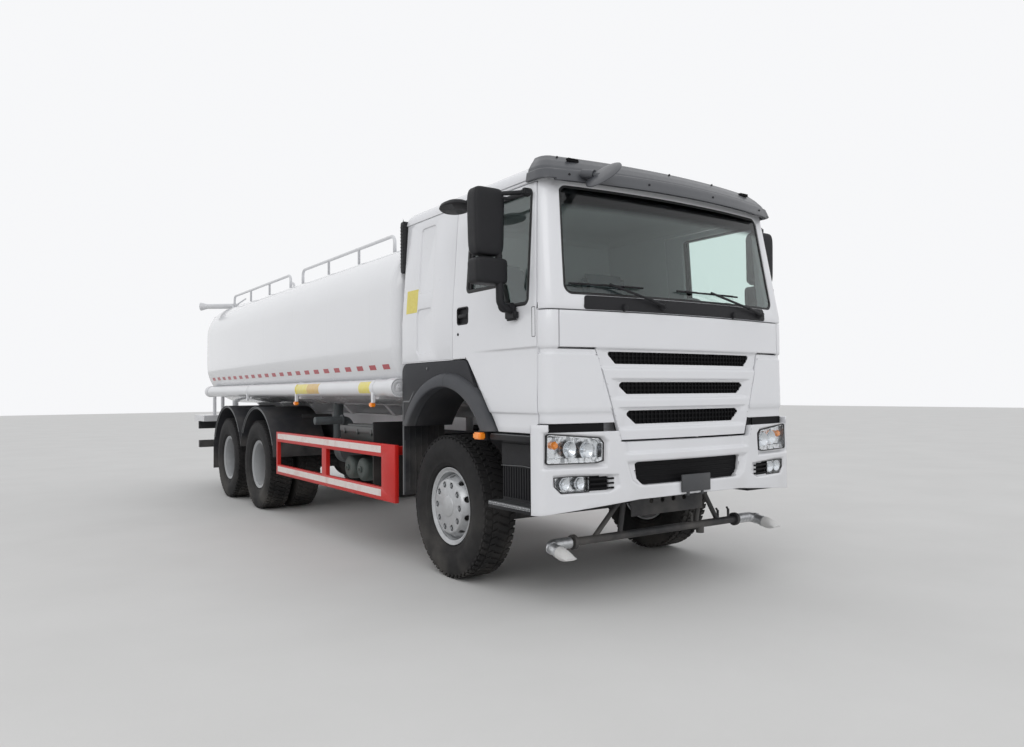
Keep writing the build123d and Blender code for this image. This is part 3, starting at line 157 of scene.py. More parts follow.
def with_dust(finish, colour, roughness, low=0.15, high=1.1, most=0.5):
    """Road dust that thickens towards the ground, broken up by a cloudy noise."""
    cloud = finish.noise(3.0, 6.0)
    spread = (1 - finish.axis(2).over(low, high)) * cloud.over(0.34, 0.72) * most
    finish.colour(colour, DUST, spread)
    finish.feed("Roughness", spread * 0.5 + roughness + (finish.noise(60.0) - 0.5) * 0.12)


def painted(name, colour, roughness=0.42, most=0.5, **constants):
    finish = Finish(name, colour, **constants)
    shade = finish.mix(tuple(0.86 * c for c in colour), colour, finish.noise(9.0, 5.0))
    with_dust(finish, shade, roughness, most=most)
    finish.grain(220.0, 2.0, 0.0006, 0.4)
    return finish


chassis_paint = painted("chassis_paint", (0.030, 0.031, 0.035), 0.5, 0.35, Specular_IOR_Level=0.3)
spring_paint = painted("spring_paint", (0.024, 0.024, 0.026), 0.55, 0.45, Specular_IOR_Level=0.3)
engine_paint = painted("engine_paint", (0.14, 0.15, 0.155), 0.5, 0.35)
BODIES = frame["record"]["behaviour"]["bodies"]
BODY_OF = {node: body for body, nodes in BODIES.items() for node in nodes}
SLOT_OF = {part["node"]: part["material_slot"] for part in frame["record"]["subparts"]}


def finished(piece):
    """Applies a piece's modifiers, so that one plain mesh is left."""
    graph = bpy.context.evaluated_depsgraph_get()
    mesh = bpy.data.meshes.new_from_object(piece.evaluated_get(graph))
    piece.modifiers.clear()
    piece.data = mesh
    return piece


def from_mesh(name, mesh):
    piece = bpy.data.objects.new(name, mesh)
    bpy.context.scene.collection.objects.link(piece)
    return piece


def rounded(piece, width, angle=32, segments=2, plates=False):
    """Rounds the hard edges of a piece and shades what is left smooth. On plates the large
    faces rule the shading, so that they stay flat up to their edges."""
    if width:
        bevel = piece.modifiers.new("edges", "BEVEL")
        bevel.width, bevel.segments, bevel.miter_outer = width, segments, "MITER_ARC"
        bevel.limit_method, bevel.angle_limit = "ANGLE", math.radians(angle)
        bevel.use_clamp_overlap = False
        finished(piece)
    piece.data.shade_smooth()
    piece.data.set_sharp_from_angle(angle=math.radians(angle))
    if plates:
        piece.modifiers.new("shading", "WEIGHTED_NORMAL").keep_sharp = True
        finished(piece)
    return piece


def settle(piece, body, finish, slot, *replaced):
    """Gives a finished piece its material and its body, and hides the nodes that it stands for."""
    piece.data.materials.clear()
    piece.data.materials.append(finish.material)
    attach(piece, body)
    if replaced:
        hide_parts(*replaced)
    return piece


def cad_form(node):
    """A node's own mesh, its loose triangles merged."""
    form = bmesh.new()
    form.from_mesh(frame["nodes"][node].data)
    bmesh.ops.remove_doubles(form, verts=form.verts, dist=0.00002)
    return form


def solid(name, form, turn_out=True):
    """Closes a form into a piece, its faces pointing outwards."""
    if turn_out:
        bmesh.ops.recalc_face_normals(form, faces=form.faces)
    mesh = bpy.data.meshes.new(name)
    form.to_mesh(mesh)
    form.free()
    return from_mesh(name, mesh)


def refined(node, finish, width=0.004, angle=32, plates=False):
    """The node's own solids with their edges rounded and their curves shaded smooth."""
    form = cad_form(node)
    if plates:
        bmesh.ops.dissolve_limit(form, angle_limit=math.radians(0.5), verts=form.verts,
                                 edges=form.edges)
    piece = rounded(solid("finished_" + node, form, False), width, angle, plates=plates)
    return settle(piece, BODY_OF[node], finish, SLOT_OF[node], node)


refined("chassis_frame", chassis_paint, 0.005)
refined("rear_axles", chassis_paint, 0.004)
refined("front_axle", chassis_paint, 0.006)
refined("engine_block", engine_paint, 0.012)
for spring_steel_node in ("leaf_springs", "tie_rod", "knuckle_left", "knuckle_right"):
    refined(spring_steel_node, spring_paint, 0.002)

# The tyres: ten all-position radials. A ribbed carcass is moulded with raised rings on its flanks
# and five bands of tread blocks, the outer ones notched right over the shoulders.
WHEELS = {joint["child"]: Vector(joint["pos_m"]) for joint in frame["joints"]
          if joint["name"].startswith("spin_")}
HALF_TURN, QUARTER = math.pi, math.pi / 2


def aft(distance):
    """A place along the truck, in metres behind the front axle."""
    return WHEELS["wheel_front_left"].y + distance


def bridge(form, first, second, closed=True):
    """Faces between two rings or lines of points."""
    for i in range(len(first) if closed else len(first) - 1):
        j = (i + 1) % len(first)
        corners = list(dict.fromkeys((first[i], first[j], second[j], second[i])))
        if len(corners) > 2:
            form.faces.new(corners)


def lathe(name, profile, steps=96):
    """Turns a closed (x, radius) outline about the X axis."""
    form = bmesh.new()
    turns = [2 * math.pi * i / steps for i in range(steps)]
    rings = [[form.verts.new((x, radius * math.sin(a), radius * math.cos(a))) for a in turns]
             if radius else [form.verts.new((x, 0, 0))] * steps for x, radius in profile]
    for first, second in zip(rings, rings[1:] + rings[:1]):
        bridge(form, first, second)
    return solid(name, form)


def slab(name, low, high, round_by=0.0, segments=2):
    """A small rounded block between two corners."""
    form = bmesh.new()
    bmesh.ops.create_cube(form, size=1.0)
    bmesh.ops.scale(form, vec=[b - a for a, b in zip(low, high)], verts=form.verts)
    bmesh.ops.translate(form, vec=[(b + a) / 2 for a, b in zip(low, high)], verts=form.verts)
    if round_by:
        bmesh.ops.bevel(form, geom=form.edges, offset=round_by, segments=segments, affect="EDGES")
    return solid(name, form, False)


def joined(name, pieces):
    """Several plain meshes as one piece."""
    form = bmesh.new()
    for piece in pieces:
        form.from_mesh(piece.data)
        bpy.data.objects.remove(piece)
    return solid(name, form, False)


def fitted(name, pieces, angle, finish, slot, *replaced):
    """Joins pieces of the truck's own body, shades them and settles them."""
    return settle(rounded(joined(name, pieces), 0.0, angle), "truck", finish, slot, *replaced)


def placed(piece, matrix):
    """Moves a piece by moving its mesh; a mirrored one has its faces turned back."""
    piece.data.transform(matrix)
    if matrix.determinant() < 0:
        piece.data.flip_normals()
    return piece


def put(piece, place, turn=0.0, axis="Z"):
    """Turns a piece about an axis through the origin and carries it to its place."""
    return placed(piece, Matrix.Translation(place) @ Matrix.Rotation(turn, 4, axis))


def repeat_tree(name, extra, laid_out):
    """A geometry tree that stamps a piece as often as asked; laid_out says where."""
    tree = bpy.data.node_groups.new(name, "GeometryNodeTree")
    for label, kind in [("Piece", "Object"), ("Count", "Int"), ("Finish", "Material")] + extra:
        tree.interface.new_socket(label, in_out="INPUT", socket_type="NodeSocket" + kind)
    tree.interface.new_socket("Geometry", in_out="OUTPUT", socket_type="NodeSocketGeometry")
    nodes = Nodes(tree, "GeometryNode")
    inputs = tree.nodes.new("NodeGroupInput").outputs
    given = {socket.name: Value(nodes, socket) for socket in inputs if socket.name}
    piece = nodes.add("ObjectInfo", None, {"Object": given["Piece"]}, "Geometry")
    real = nodes.add("RealizeInstances", None, {0: laid_out(nodes, given, piece)})
    coat = nodes.add("SetMaterial", None, {"Geometry": real, "Material": given["Finish"]})
    nodes.add("NodeGroupOutput", None, {0: coat})
    return tree


def round_a_circle(nodes, given, piece):
    """A piece's own x points outwards and its z along the circle's axis."""
    circle = nodes.add("MeshCircle", None, {"Vertices": given["Count"], "Radius": given["Radius"]})
    outwards = nodes.add("FunctionNodeAlignRotationToVector", {"axis": "X", "pivot_axis": "Z"},
                         {"Vector": nodes.add("InputPosition")})
    stamped = nodes.add("InstanceOnPoints", None, {"Points": circle, "Instance": piece,
                                                   "Rotation": outwards})
    started = nodes.add("Transform", None, {"Geometry": stamped, "Rotation": given["Start"]})
    return nodes.add("Transform", None, {"Geometry": started, "Rotation": given["Turn"],
                                         "Translation": given["Place"]})


def along_a_line(nodes, given, piece):
    line = nodes.add("MeshLine", {"mode": "OFFSET"}, {
        "Count": given["Count"], "Start Location": given["First"], "Offset": given["Step"]})
    return nodes.add("InstanceOnPoints", None, {"Points": line, "Instance": piece})


RING = repeat_tree("ring", [("Radius", "Float"), ("Turn", "Vector"), ("Start", "Vector"),
                            ("Place", "Vector")], round_a_circle)
ROW = repeat_tree("row", [("First", "Vector"), ("Step", "Vector")], along_a_line)


def repeated(name, tree, piece, finish, **values):
    """Runs a repeat on one piece and leaves a plain mesh; the single piece is used up."""
    host = from_mesh(name, bpy.data.meshes.new(name))
    modifier = host.modifiers.new("repeat", "NODES")
    modifier.node_group = tree
    settings = {"Piece": piece, "Finish": finish.material, **values}
    for item in tree.interface.items_tree:
        if item.in_out == "INPUT" and item.name in settings:
            modifier[item.identifier] = settings[item.name]
    finished(host)
    bpy.data.objects.remove(piece)
    return host


def row_of(name, piece, finish, count, step, first=(0, 0, 0)):
    return repeated(name, ROW, piece, finish, Count=count, First=first, Step=step)


def wheel_ring(name, piece, finish, count, radius, x, share=0.0):
    """Pieces round a wheel's axis, at x along it, turned on by a share of their pitch."""
    return repeated(name, RING, piece, finish, Count=count, Radius=radius, Turn=(0.0, QUARTER, 0.0),
                    Start=(0.0, 0.0, 2 * math.pi * share / count), Place=(x, 0.0, 0.0))


tyre_low, tyre_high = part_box("tyre_front_left")
tyre_radius = (tyre_high.z - tyre_low.z) / 2
tyre_half = (tyre_high.x - tyre_low.x) / 2
half_tread = tyre_half - 0.0235
groove, bead_radius = 0.013, 0.2615
TREAD_COUNT = 58
TREAD_BANDS = [
    # middle of the band from the crown, width, length along the tread, turn of the pattern
    (half_tread - 0.026, 0.050, 0.040, 0.0), (half_tread - 0.088, 0.052, 0.044, 0.5),
    (0.0, 0.050, 0.046, 0.25), (-half_tread + 0.088, 0.052, 0.044, 0.0),
    (-half_tread + 0.026, 0.050, 0.040, 0.5),
]
rubber = Finish("tyre_rubber", (0.018, 0.018, 0.019), Specular_IOR_Level=0.2)
scuffed = rubber.mix((0.012, 0.012, 0.013), (0.028, 0.027, 0.027), rubber.noise(14.0, 6.0))
with_dust(rubber, scuffed, 0.72, low=-0.1, high=0.9, most=0.22)
rubber.grain(420.0, 2.0, 0.0008, 0.5)


def tyre_profile():
    """Half of the section from the bead to the crown, then mirrored."""
    crown = tyre_radius - groove
    shoulder = half_tread + 0.0005
    flank = [(0.095, bead_radius), (0.0975, 0.270), (0.0985, 0.2975), (0.108, 0.304),
             (0.120, 0.309), (0.1255, 0.316), (0.1295, 0.330), (0.134, 0.334)]
    flank += [(shoulder + 0.022 * math.sin(math.pi * (0.10 + 0.085 * i)), 0.352 + 0.16 * i / 10)
              for i in range(11)]
    flank += [(half_tread - 0.004, crown - 0.012), (half_tread - 0.022, crown - 0.001),
              (half_tread * 0.55, crown + 0.0015), (0.0, crown + 0.002)]
    return flank + [(-x, r) for x, r in reversed(flank[:-1])]


def make_tyre(name):
    """A tyre about the X axis at the origin."""
    parts = [lathe(name + "_carcass", tyre_profile(), 120)]
    for middle, width, length, turn in TREAD_BANDS:
        low_edge = 0.006 if abs(middle) > 0.08 else 0.0
        block = slab("tread_block", (-groove - 0.002, -length / 2, -width / 2),
                     (-low_edge * 0.4, length / 2, width / 2), 0.003, 1)
        for corner in block.data.vertices:
            corner.co.y += 0.35 * corner.co.z * (1 if turn else -1)
        parts.append(wheel_ring("tread_band", block, rubber, TREAD_COUNT, tyre_radius - 0.0005,
                                middle, turn))
    for side in (-1, 1):
        lug = slab("shoulder_lug", (-0.040, -0.017, -0.006), (-0.004, 0.017, 0.006), 0.003, 1)
        parts.append(wheel_ring("shoulder_lugs", lug, rubber, TREAD_COUNT, tyre_radius - 0.012,
                                side * (half_tread - 0.001)))
    return rounded(joined(name, parts), 0.0, 38)


pattern_tyre = make_tyre("pattern_tyre")
for body, hub in WHEELS.items():
    tyre_node = next(node for node in BODIES[body] if node.startswith("tyre"))
    low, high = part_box(tyre_node)
    reach = 0.0 if "front" in body else (high.x - low.x) / 2 - tyre_half
    copies = [put(from_mesh("tyre_copy", pattern_tyre.data.copy()), hub + Vector((step, 0, 0)))
              for step in dict.fromkeys((-reach, reach))]
    tyre = rounded(joined("treaded_" + tyre_node, copies), 0.0, 38)
    settle(tyre, body, rubber, "tyre", tyre_node)
bpy.data.objects.remove(pattern_tyre)

# The front rims: pressed steel in silver paint. A cone with ten hand holes rises from the barrel
# to a proud flat disc, where ten nuts sit in their pockets round a small hub cap.
silver = Finish("rim_silver", (0.50, 0.51, 0.52), Metallic=0.55)
with_dust(silver, silver.mix((0.40, 0.41, 0.42), (0.58, 0.59, 0.60), silver.noise(26.0, 5.0)),
          0.36, low=-0.1, high=1.0, most=0.25)
silver.grain(300.0, 2.0, 0.0005, 0.5)
dark_steel = painted("dark_steel", (0.030, 0.031, 0.033), 0.45, 0.5)
nut_metal = Finish("nut_metal", (0.34, 0.35, 0.36), Metallic=0.9)
nut_metal.gloss(60.0, 3.0, 0.2, 0.3)

rim_low, rim_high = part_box("rim_front_left")
flange_radius = (rim_high.z - rim_low.z) / 2
rim_half = WHEELS["wheel_front_left"].x - rim_low.x
barrel_radius, nut_count = 0.2605, 10
face_x, face_radius = rim_half + 0.018, 0.205
hand_hole_ring, nut_ring, hole_radius = 0.226, 0.1675, 0.0235
cone_slope = math.atan2(face_x - 0.060, 0.036)
drum_in = 0.044


def cut_by(piece, cutters, operation="DIFFERENCE"):
    """Cuts a piece by each cutter in turn and uses the cutters up."""
    for cutter in cutters:
        tool = piece.modifiers.new("cut", "BOOLEAN")
        tool.object, tool.operation, tool.solver = cutter, operation, "MANIFOLD"
    finished(piece)
    for cutter in cutters:
        bpy.data.objects.remove(cutter)
    return piece


def kept_in(piece, *rooms):
    """Keeps what of a piece lies inside the given forms."""
    return cut_by(piece, rooms, "INTERSECT")


def peg(name, radius, low, high, steps=24):
    """A round bar along X."""
    return lathe(name, [(low, 0.0), (low, radius), (high, radius), (high, 0.0)], steps)


def peg_along_z(name, radius, low, high, steps=24):
    return placed(peg(name, radius, low, high, steps), Matrix.Rotation(-QUARTER, 4, "Y"))


def rim_barrel(name, middle, well):
    """The barrel between two flanges; well is its deepest stretch."""
    edge = [(rim_half - 0.004, flange_radius - 0.010), (rim_half, flange_radius - 0.004),
            (rim_half - 0.001, flange_radius), (rim_half - 0.010, flange_radius),
            (rim_half - 0.014, barrel_radius), (-rim_half + 0.014, barrel_radius),
            (-rim_half + 0.010, flange_radius)]
    profile = [(-rim_half, flange_radius), (-rim_half, flange_radius - 0.012),
               (-rim_half + 0.016, 0.262)] + well + edge
    return lathe(name + "_barrel", [(x + middle, radius) for x, radius in profile], 120)


def front_rim(name):
    """A front rim about the X axis at the origin, its outside towards +x."""
    barrel = rim_barrel(name, 0.0, [(-0.05, 0.246), (0.045, 0.243), (rim_half - 0.030, 0.256),
                                    (rim_half - 0.016, 0.266)])
    disc = lathe(name + "_disc", [
        (0.030, 0.246), (0.040, 0.2475), (0.052, 0.244), (face_x - 0.008, face_radius + 0.003),
        (face_x - 0.002, face_radius - 0.002), (face_x, face_radius - 0.008), (face_x, 0.082),
        (face_x + 0.006, 0.078), (face_x + 0.009, 0.070), (face_x + 0.010, 0.0),
        (face_x - 0.012, 0.0), (face_x - 0.012, face_radius - 0.012), (0.038, 0.232),
        (0.030, 0.236)], 120)
    for ring, reach, share, tilt, x in (
            (hand_hole_ring, 0.030, 0.0, cone_slope, (face_x + 0.044) / 2),
            (nut_ring, 0.120, 0.5, 0.0, face_x)):
        hole = put(peg_along_z("hole", hole_radius, -reach, reach), (0, 0, 0), tilt, "Y")
        cut_by(disc, [wheel_ring("holes", hole, silver, nut_count, ring, x, share)])
    return rounded(joined(name, [barrel, disc]), 0.0015, 30)


def nuts_at(name, ring, height, base):
    """Ten wheel nuts with their stud ends."""
    nut = joined("nut", [lathe("nut_hex", [(0, 0), (0, 0.0165), (height, 0.0155), (height, 0)], 6),
                         peg("stud", 0.010, height - 0.002, height + 0.010, 16)])
    placed(nut, Matrix.Rotation(-QUARTER, 4, "Y"))
    return wheel_ring(name, nut, nut_metal, nut_count, ring, base, 0.5)


def mount(piece, body, *settled):
    """Sets a piece made for a left wheel on its hub, mirrored for a right one."""
    hub = WHEELS[body]
    flip = Matrix.Scale(-1 if hub.x < 0 else 1, 4, (1, 0, 0))
    settle(placed(piece, Matrix.Translation(hub) @ flip), body, *settled)


for side in ("left", "right"):
    body = "wheel_front_" + side
    mount(front_rim("steel_rim_" + side), body, silver, "rim_paint", "rim_front_" + side)
    drum = lathe("brake_drum_" + side, [(-drum_in, 0), (-drum_in, 0.186), (0.028, 0.190),
                                        (0.040, 0.176), (0.066, 0.100), (0.072, 0)], 64)
    mount(rounded(drum, 0.003, 30), body, dark_steel, "chassis_paint")
    nuts = nuts_at("front_nuts_" + side, nut_ring, 0.020, face_x - 0.026)
    mount(nuts, body, nut_metal, "bright_metal")

# The rear rims: two discs back to back on each hub, so the outer wheel shows a deep dish, a
# bright flange, the nuts on the joined discs and the axle end standing proud. The discs are
# painted darker than the barrels, a painted shade for the depth of the dish.
rear_silver = painted("rear_rim_paint", (0.36, 0.37, 0.38), 0.40, 0.3)
# Painted shade: the discs are coloured darker than the barrels to stand for the shade deep in the dish.
dish_dark = painted("dish_dark", (0.105, 0.107, 0.112), 0.5, 0.4)
twin_low, twin_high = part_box("rims_rear1_left")
outer_wheel = (twin_high.x - twin_low.x) / 2 - rim_half
dish_root, axle_end, drum_face = outer_wheel - 0.075, 0.140, -0.135


def rear_dish(name):
    """The two dished discs with their hand holes."""
    parts = []
    for way in (1, -1):
        disc = lathe(name + "_disc", [(way * x, r) for x, r in (
            (dish_root, 0.247), (dish_root - 0.012, 0.243), (0.030, 0.200), (0.016, 0.180),
            (0.014, 0.0), (0.001, 0.0), (0.001, 0.184), (0.016, 0.207),
            (dish_root - 0.022, 0.2475))], 96)
        hole = peg_along_z("hole", 0.024, -0.14, 0.14)
        holes = wheel_ring("holes", hole, dish_dark, nut_count, 0.216, way * 0.06)
        parts.append(cut_by(disc, [holes]))
    return rounded(joined(name, parts), 0.0012, 30)


for body in [body for body in WHEELS if "rear" in body]:
    node = next(node for node in BODIES[body] if node.startswith("rims"))
    barrels = [rim_barrel("steel_" + node, middle, [(-0.04, 0.246), (0.04, 0.246),
                                                    (rim_half - 0.016, 0.262)])
               for middle in (-outer_wheel, outer_wheel)]
    mount(rounded(joined("steel_" + node, barrels), 0.0015, 30), body, rear_silver,
          "rear_rim_paint", node)
    mount(rear_dish("dish_" + body), body, dish_dark, "rear_rim_paint")
    hub = lathe("hub_" + body, [
        (drum_face, 0), (drum_face, 0.196), (-0.040, 0.196), (-0.020, 0.130), (0.060, 0.128),
        (0.068, 0.110), (axle_end - 0.020, 0.092), (axle_end - 0.012, 0.088),
        (axle_end - 0.004, 0.060), (axle_end, 0)], 64)
    mount(rounded(hub, 0.002, 30), body, dark_steel, "chassis_paint")
    mount(nuts_at("rear_nuts_" + body, 0.160, 0.024, 0.013), body, nut_metal, "bright_metal")

# The cab shell: pressed steel panels in gloss white, welded into one box. Two shallow recesses
# stiffen each side behind the doors, and the panels are left open for doors, windscreen and nose.
cab_half, cab_back, roof_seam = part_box("cab_body")[1]
cab_top_half, cab_belt = 1.118, 1.980
cab_nose, cab_brow = aft(-1.405), aft(-1.275)
nose_bow, nose_corner = 0.085, 0.090
wall, panel_gap, far_out = 0.065, 0.008, 1.45
SIDE_STEPS, CORNER_STEPS, BOW_STEPS = 6, 9, 48


def ease(value, low, high):
    """0 up to low, 1 from high, smooth between."""
    share = min(max((value - low) / (high - low), 0.0), 1.0)
    return share * share * (3 - 2 * share)


def plan_line(half, front, rear, bow, corner, inset=0.0, side_steps=SIDE_STEPS,
              bow_steps=BOW_STEPS):
    """Plan of a bowed front with round corners: left side, left corner, bow, and back again."""
    half, front, rear = half - inset, front + inset, rear - inset
    corner = max(corner - inset, 0.015)
    side = front + bow + corner
    reach = half - corner
    radius = (reach ** 2 + bow ** 2) / (2 * bow)
    line = [(half, rear + (side - rear) * i / side_steps) for i in range(side_steps)]
    for i in range(CORNER_STEPS):
        angle = QUARTER * i / (CORNER_STEPS - 1)
        line.append((reach + corner * math.cos(angle), side - corner * math.sin(angle)))
    for i in range(1, bow_steps // 2):
        x = reach * (1 - 2 * i / bow_steps)
        line.append((x, front + radius - math.sqrt(radius ** 2 - x ** 2)))
    return line + [(0.0, front)] + [(-x, y) for x, y in reversed(line)]


def pressed_in(line, z, relief):
    """Moves each point of a plan line inwards by the pressing's depth there."""
    moved = []
    for i, (x, y) in enumerate(line):
        before, after = line[max(i - 1, 0)], line[min(i + 1, len(line) - 1)]
        along = Vector((after[0] - before[0], after[1] - before[1])).normalized()
        depth = relief(x, y - aft(0), z)
        moved.append((x + along.y * depth, y - along.x * depth))
    return moved


def stacked(form, rows, closed=True):
    """Points for every row, with faces between neighbouring rows."""
    made = [[form.verts.new(point) for point in row] for row in rows]
    for lower, upper in zip(made, made[1:]):
        bridge(form, lower, upper, closed)
    return made


def wall_mesh(name, outer_rows, inner_rows, closed):
    """A closed wall between two stacks of plan lines with the same number of points."""
    form = bmesh.new()
    outer, inner = stacked(form, outer_rows, closed), stacked(form, inner_rows, closed)
    for end in (0, -1):
        bridge(form, outer[end], inner[end], closed)
    for end in () if closed else (0, -1):
        form.faces.new([row[end] for row in outer] + [row[end] for row in inner][::-1])
    return solid(name, form)


def pan(name, outer_rows, inner_rows):
    """A closed pan: two stacks of closed rows, joined at the foot and filled at the head."""
    form = bmesh.new()
    outer, inner = stacked(form, outer_rows), stacked(form, inner_rows)
    form.faces.new(outer[-1])
    form.faces.new(inner[-1])
    bridge(form, outer[0], inner[0])
    return solid(name, form)


def cab_level(z):
    """Half width and middle of the front at a height."""
    share = max(z - cab_belt, 0.0) / (roof_seam - cab_belt)
    return (cab_half + (cab_top_half - cab_half) * share,
            cab_nose + (cab_brow - cab_nose) * share)


def cab_wall(name, heights, outer, inner, stretch=None, relief=None,
             steps=(SIDE_STEPS, BOW_STEPS)):
    """A wall of the cab's own form between two insets, whole or a stretch of its plan."""
    bends = [z for z in heights[:-1] if z in (heights[0], cab_belt)] + heights[-1:]
    stacks = []
    for inset, pressing, levels in ((outer, relief, heights), (inner, None, bends)):
        rows = []
        for z in levels:
            line = plan_line(*cab_level(z), cab_back, nose_bow, nose_corner, inset, *steps)
            if pressing:
                line = pressed_in(line, z, pressing)
            rows.append([(x, y, z) for x, y in (line[stretch] if stretch else line)])
        stacks.append(rows)
    return wall_mesh(name, *stacks, stretch is None)


def soft_outline(points, radius, steps=6):
    """Rounds every corner of an outline."""
    result = []
    for i, here in enumerate(points):
        here = Vector(here)
        before = (Vector(points[i - 1]) - here).normalized()
        after = (Vector(points[(i + 1) % len(points)]) - here).normalized()
        half_angle = before.angle(after) / 2
        if half_angle > math.radians(88):
            result.append(tuple(here))
            continue
        centre = here + (before + after).normalized() * radius / math.sin(half_angle)
        first, last = (here + way * radius / math.tan(half_angle) - centre
                       for way in (before, after))
        result += [tuple(centre + first.lerp(last, step / steps).normalized() * radius)
                   for step in range(steps + 1)]
    return result


def prism(name, points, axis, low, high):
    """An outline pushed along an axis; its two columns are the other axes in order."""
    form = bmesh.new()
    ends = [[form.verts.new((*point[:axis], depth, *point[axis:])) for point in points]
            for depth in (low, high)]
    for end in ends:
        form.faces.new(end)
    bridge(form, *ends)
    return solid(name, form)


def grown(points, amount):
    """An outline moved outwards by an even amount."""
    area = sum(a[0] * b[1] - b[0] * a[1] for a, b in zip(points, points[1:] + points[:1]))
    way = amount if area > 0 else -amount
    result = []
    for i, here in enumerate(points):
        before, after = Vector(points[i - 1]), Vector(points[(i + 1) % len(points)])
        first = (Vector(here) - before).normalized()
        second = (after - Vector(here)).normalized()
        out = Vector((first.y, -first.x)) + Vector((second.y, -second.x))
        out = out / max(out.length_squared / 2, 0.3)
        result.append((here[0] + out.x * way, here[1] + out.y * way))
    return result


def along_truck(points):
    """Turns (distance behind the front axle, height) into the shared frame."""
    return [(aft(y), z) for y, z in points]


def across_truck(name, points, low, high):
    """An outline of (distance behind the front axle, height) pushed across the truck."""
    return prism(name, along_truck(points), 0, low, high)


FLIP = Matrix.Scale(-1, 4, (1, 0, 0))


def mirrored(piece, name):
    """The same piece for the other side."""
    return placed(from_mesh(name, piece.data.copy()), FLIP)


cab_paint = Finish("cab_paint", (0.74, 0.745, 0.765), Coat_Weight=0.7, Coat_Roughness=0.05)
with_dust(cab_paint, cab_paint.mix((0.72, 0.725, 0.745), (0.76, 0.765, 0.785),
                                   cab_paint.noise(2.5, 3.0)), 0.30, low=0.3, high=1.3, most=0.22)
cab_paint.grain(170.0, 1.0, 0.0003, 0.25)

mudguard_top, skirt = 1.648, 1.140
mudguard_corner, mudguard_slope = -0.345, 0.78
door_front, door_back, door_head = -1.212, -0.150, 2.782
screen_foot, screen_head = 2.035, 2.768
screen_line = soft_outline([(-1.035, screen_foot), (-0.985, screen_head), (0.985, screen_head),
                            (1.035, screen_foot)], 0.06)
nose_near, nose_deep, nose_edge = aft(-1.60), aft(-1.05), aft(-1.222)
low_line = mudguard_top + panel_gap


def slant(z):
    """The mudguard's slanted front edge at a height."""
    return mudguard_corner - (mudguard_top - z) * mudguard_slope


def through_nose(name, points):
    return prism(name, points, 1, nose_near, nose_deep)


door_points = [(door_front, skirt), (door_front, cab_belt + 0.02), (door_front + 0.075, door_head),
               (door_back, door_head), (door_back, low_line), (slant(low_line) - 0.016, low_line),
               (slant(skirt) - 0.016, skirt)]
door_points[5:6] = soft_outline(door_points[4:7], 0.080, 8)[9:18]
recess_back, recess_front = 0.43, 0.19
recess_levels = [(2.21, 2.74), (1.72, 2.08)]

shell = cab_wall("cab_shell", [1.652, cab_belt, roof_seam], 0.0, wall)
cutters = [through_nose("screen", screen_line),
           slab("nose", (-far_out, nose_near, 1.0), (far_out, nose_edge, 1.938))]
for side in (-1, 1):
    near, far = sorted((side * 0.9, side * far_out))
    cutters.append(across_truck("doorway", grown(door_points, panel_gap), near, far))
    for foot, head in recess_levels:
        belt = [cab_belt] if foot < cab_belt else []
        recess = cab_wall("recess", [foot - 0.1] + belt + [head + 0.02], -0.05, 0.011)
        outline = soft_outline([(recess_back, foot), (recess_front, foot), (recess_front, head),
                                (recess_back, head)], 0.035)
        cutters.append(kept_in(recess, across_truck("recess_edge", outline, near, far)))
rounded(cut_by(shell, cutters), 0.006, 32, 3)
form = cad_form("cab_body")
bmesh.ops.bisect_plane(form, geom=form.verts[:] + form.edges[:] + form.faces[:],
                       plane_co=(0, 0, 1.66), plane_no=(0, 0, 1), clear_outer=True)
bmesh.ops.holes_fill(form, edges=[edge for edge in form.edges if edge.is_boundary])
firewall = slab("firewall", (-1.07, aft(-1.262), 1.62), (1.07, nose_edge, 1.975), 0.004)
settle(joined("cab_shell_whole", [shell, solid("cab_floor", form, False), firewall]), "truck",
       cab_paint, "cab_paint", "cab_body")

# The roof: one pressed pan with a rolled edge that stands over the seam like a drip rail.
roof_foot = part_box("cab_roof")[0].z
roof_rows = [
    # height over the seam, inset at the sides and back, inset at the front
    (0.0, -0.006, -0.006), (0.006, -0.007, -0.006), (0.040, 0.0, 0.005), (0.066, 0.012, 0.022),
    (0.092, 0.038, 0.060), (0.110, 0.078, 0.115), (0.122, 0.150, 0.210),
]


def roof_stack(drop, inset):
    rows = []
    for height, side_in, front_in in roof_rows:
        line = plan_line(cab_top_half - side_in, cab_brow + front_in, cab_back - side_in, nose_bow,
                         0.08, inset)
        z = roof_foot + max(height - drop, 0.0001 * height)
        rows.append([(x, y, z) for x, y in line])
    return rows


roof = pan("roof_pan", roof_stack(0.0, 0.0), roof_stack(0.030, 0.04))
settle(rounded(roof, 0.0, 40), "truck", cab_paint, "cab_paint", "cab_roof")

# The windscreen: one bonded sheet of green-tinted laminated glass, with a black ceramic edge and a
# rubber lip round it.
glass = Finish("tinted_glass", (0.80, 0.90, 0.87), Transmission_Weight=1.0, IOR=1.45,
               Roughness=0.0)
glass.feed("Roughness", glass.noise(5.0, 4.0).over(0.5, 0.9) * 0.05)
# Painted shade: the windscreen's top band is darkened for the shadow under the visor.
visor_shade_band = (glass.axis(1) < aft(-1.20)) * glass.axis(2).over(2.60, 2.66)
glass.colour((0.80, 0.90, 0.87), (0.05, 0.055, 0.06), visor_shade_band)
rubber_black = Finish("black_rubber", (0.012, 0.012, 0.013))
rubber_black.gloss(80.0, 3.0, 0.25, 0.45)
rubber_black.grain(350.0, 3.0, 0.0004, 0.5)


def ringed(band, line, width, axis, near, far):
    """A band of wall that follows an outline's edge."""
    kept_in(band, prism("outer_edge", grown(line, width / 2), axis, near, far))
    return cut_by(band, [prism("inner_edge", grown(line, -width / 2), axis, near, far)])


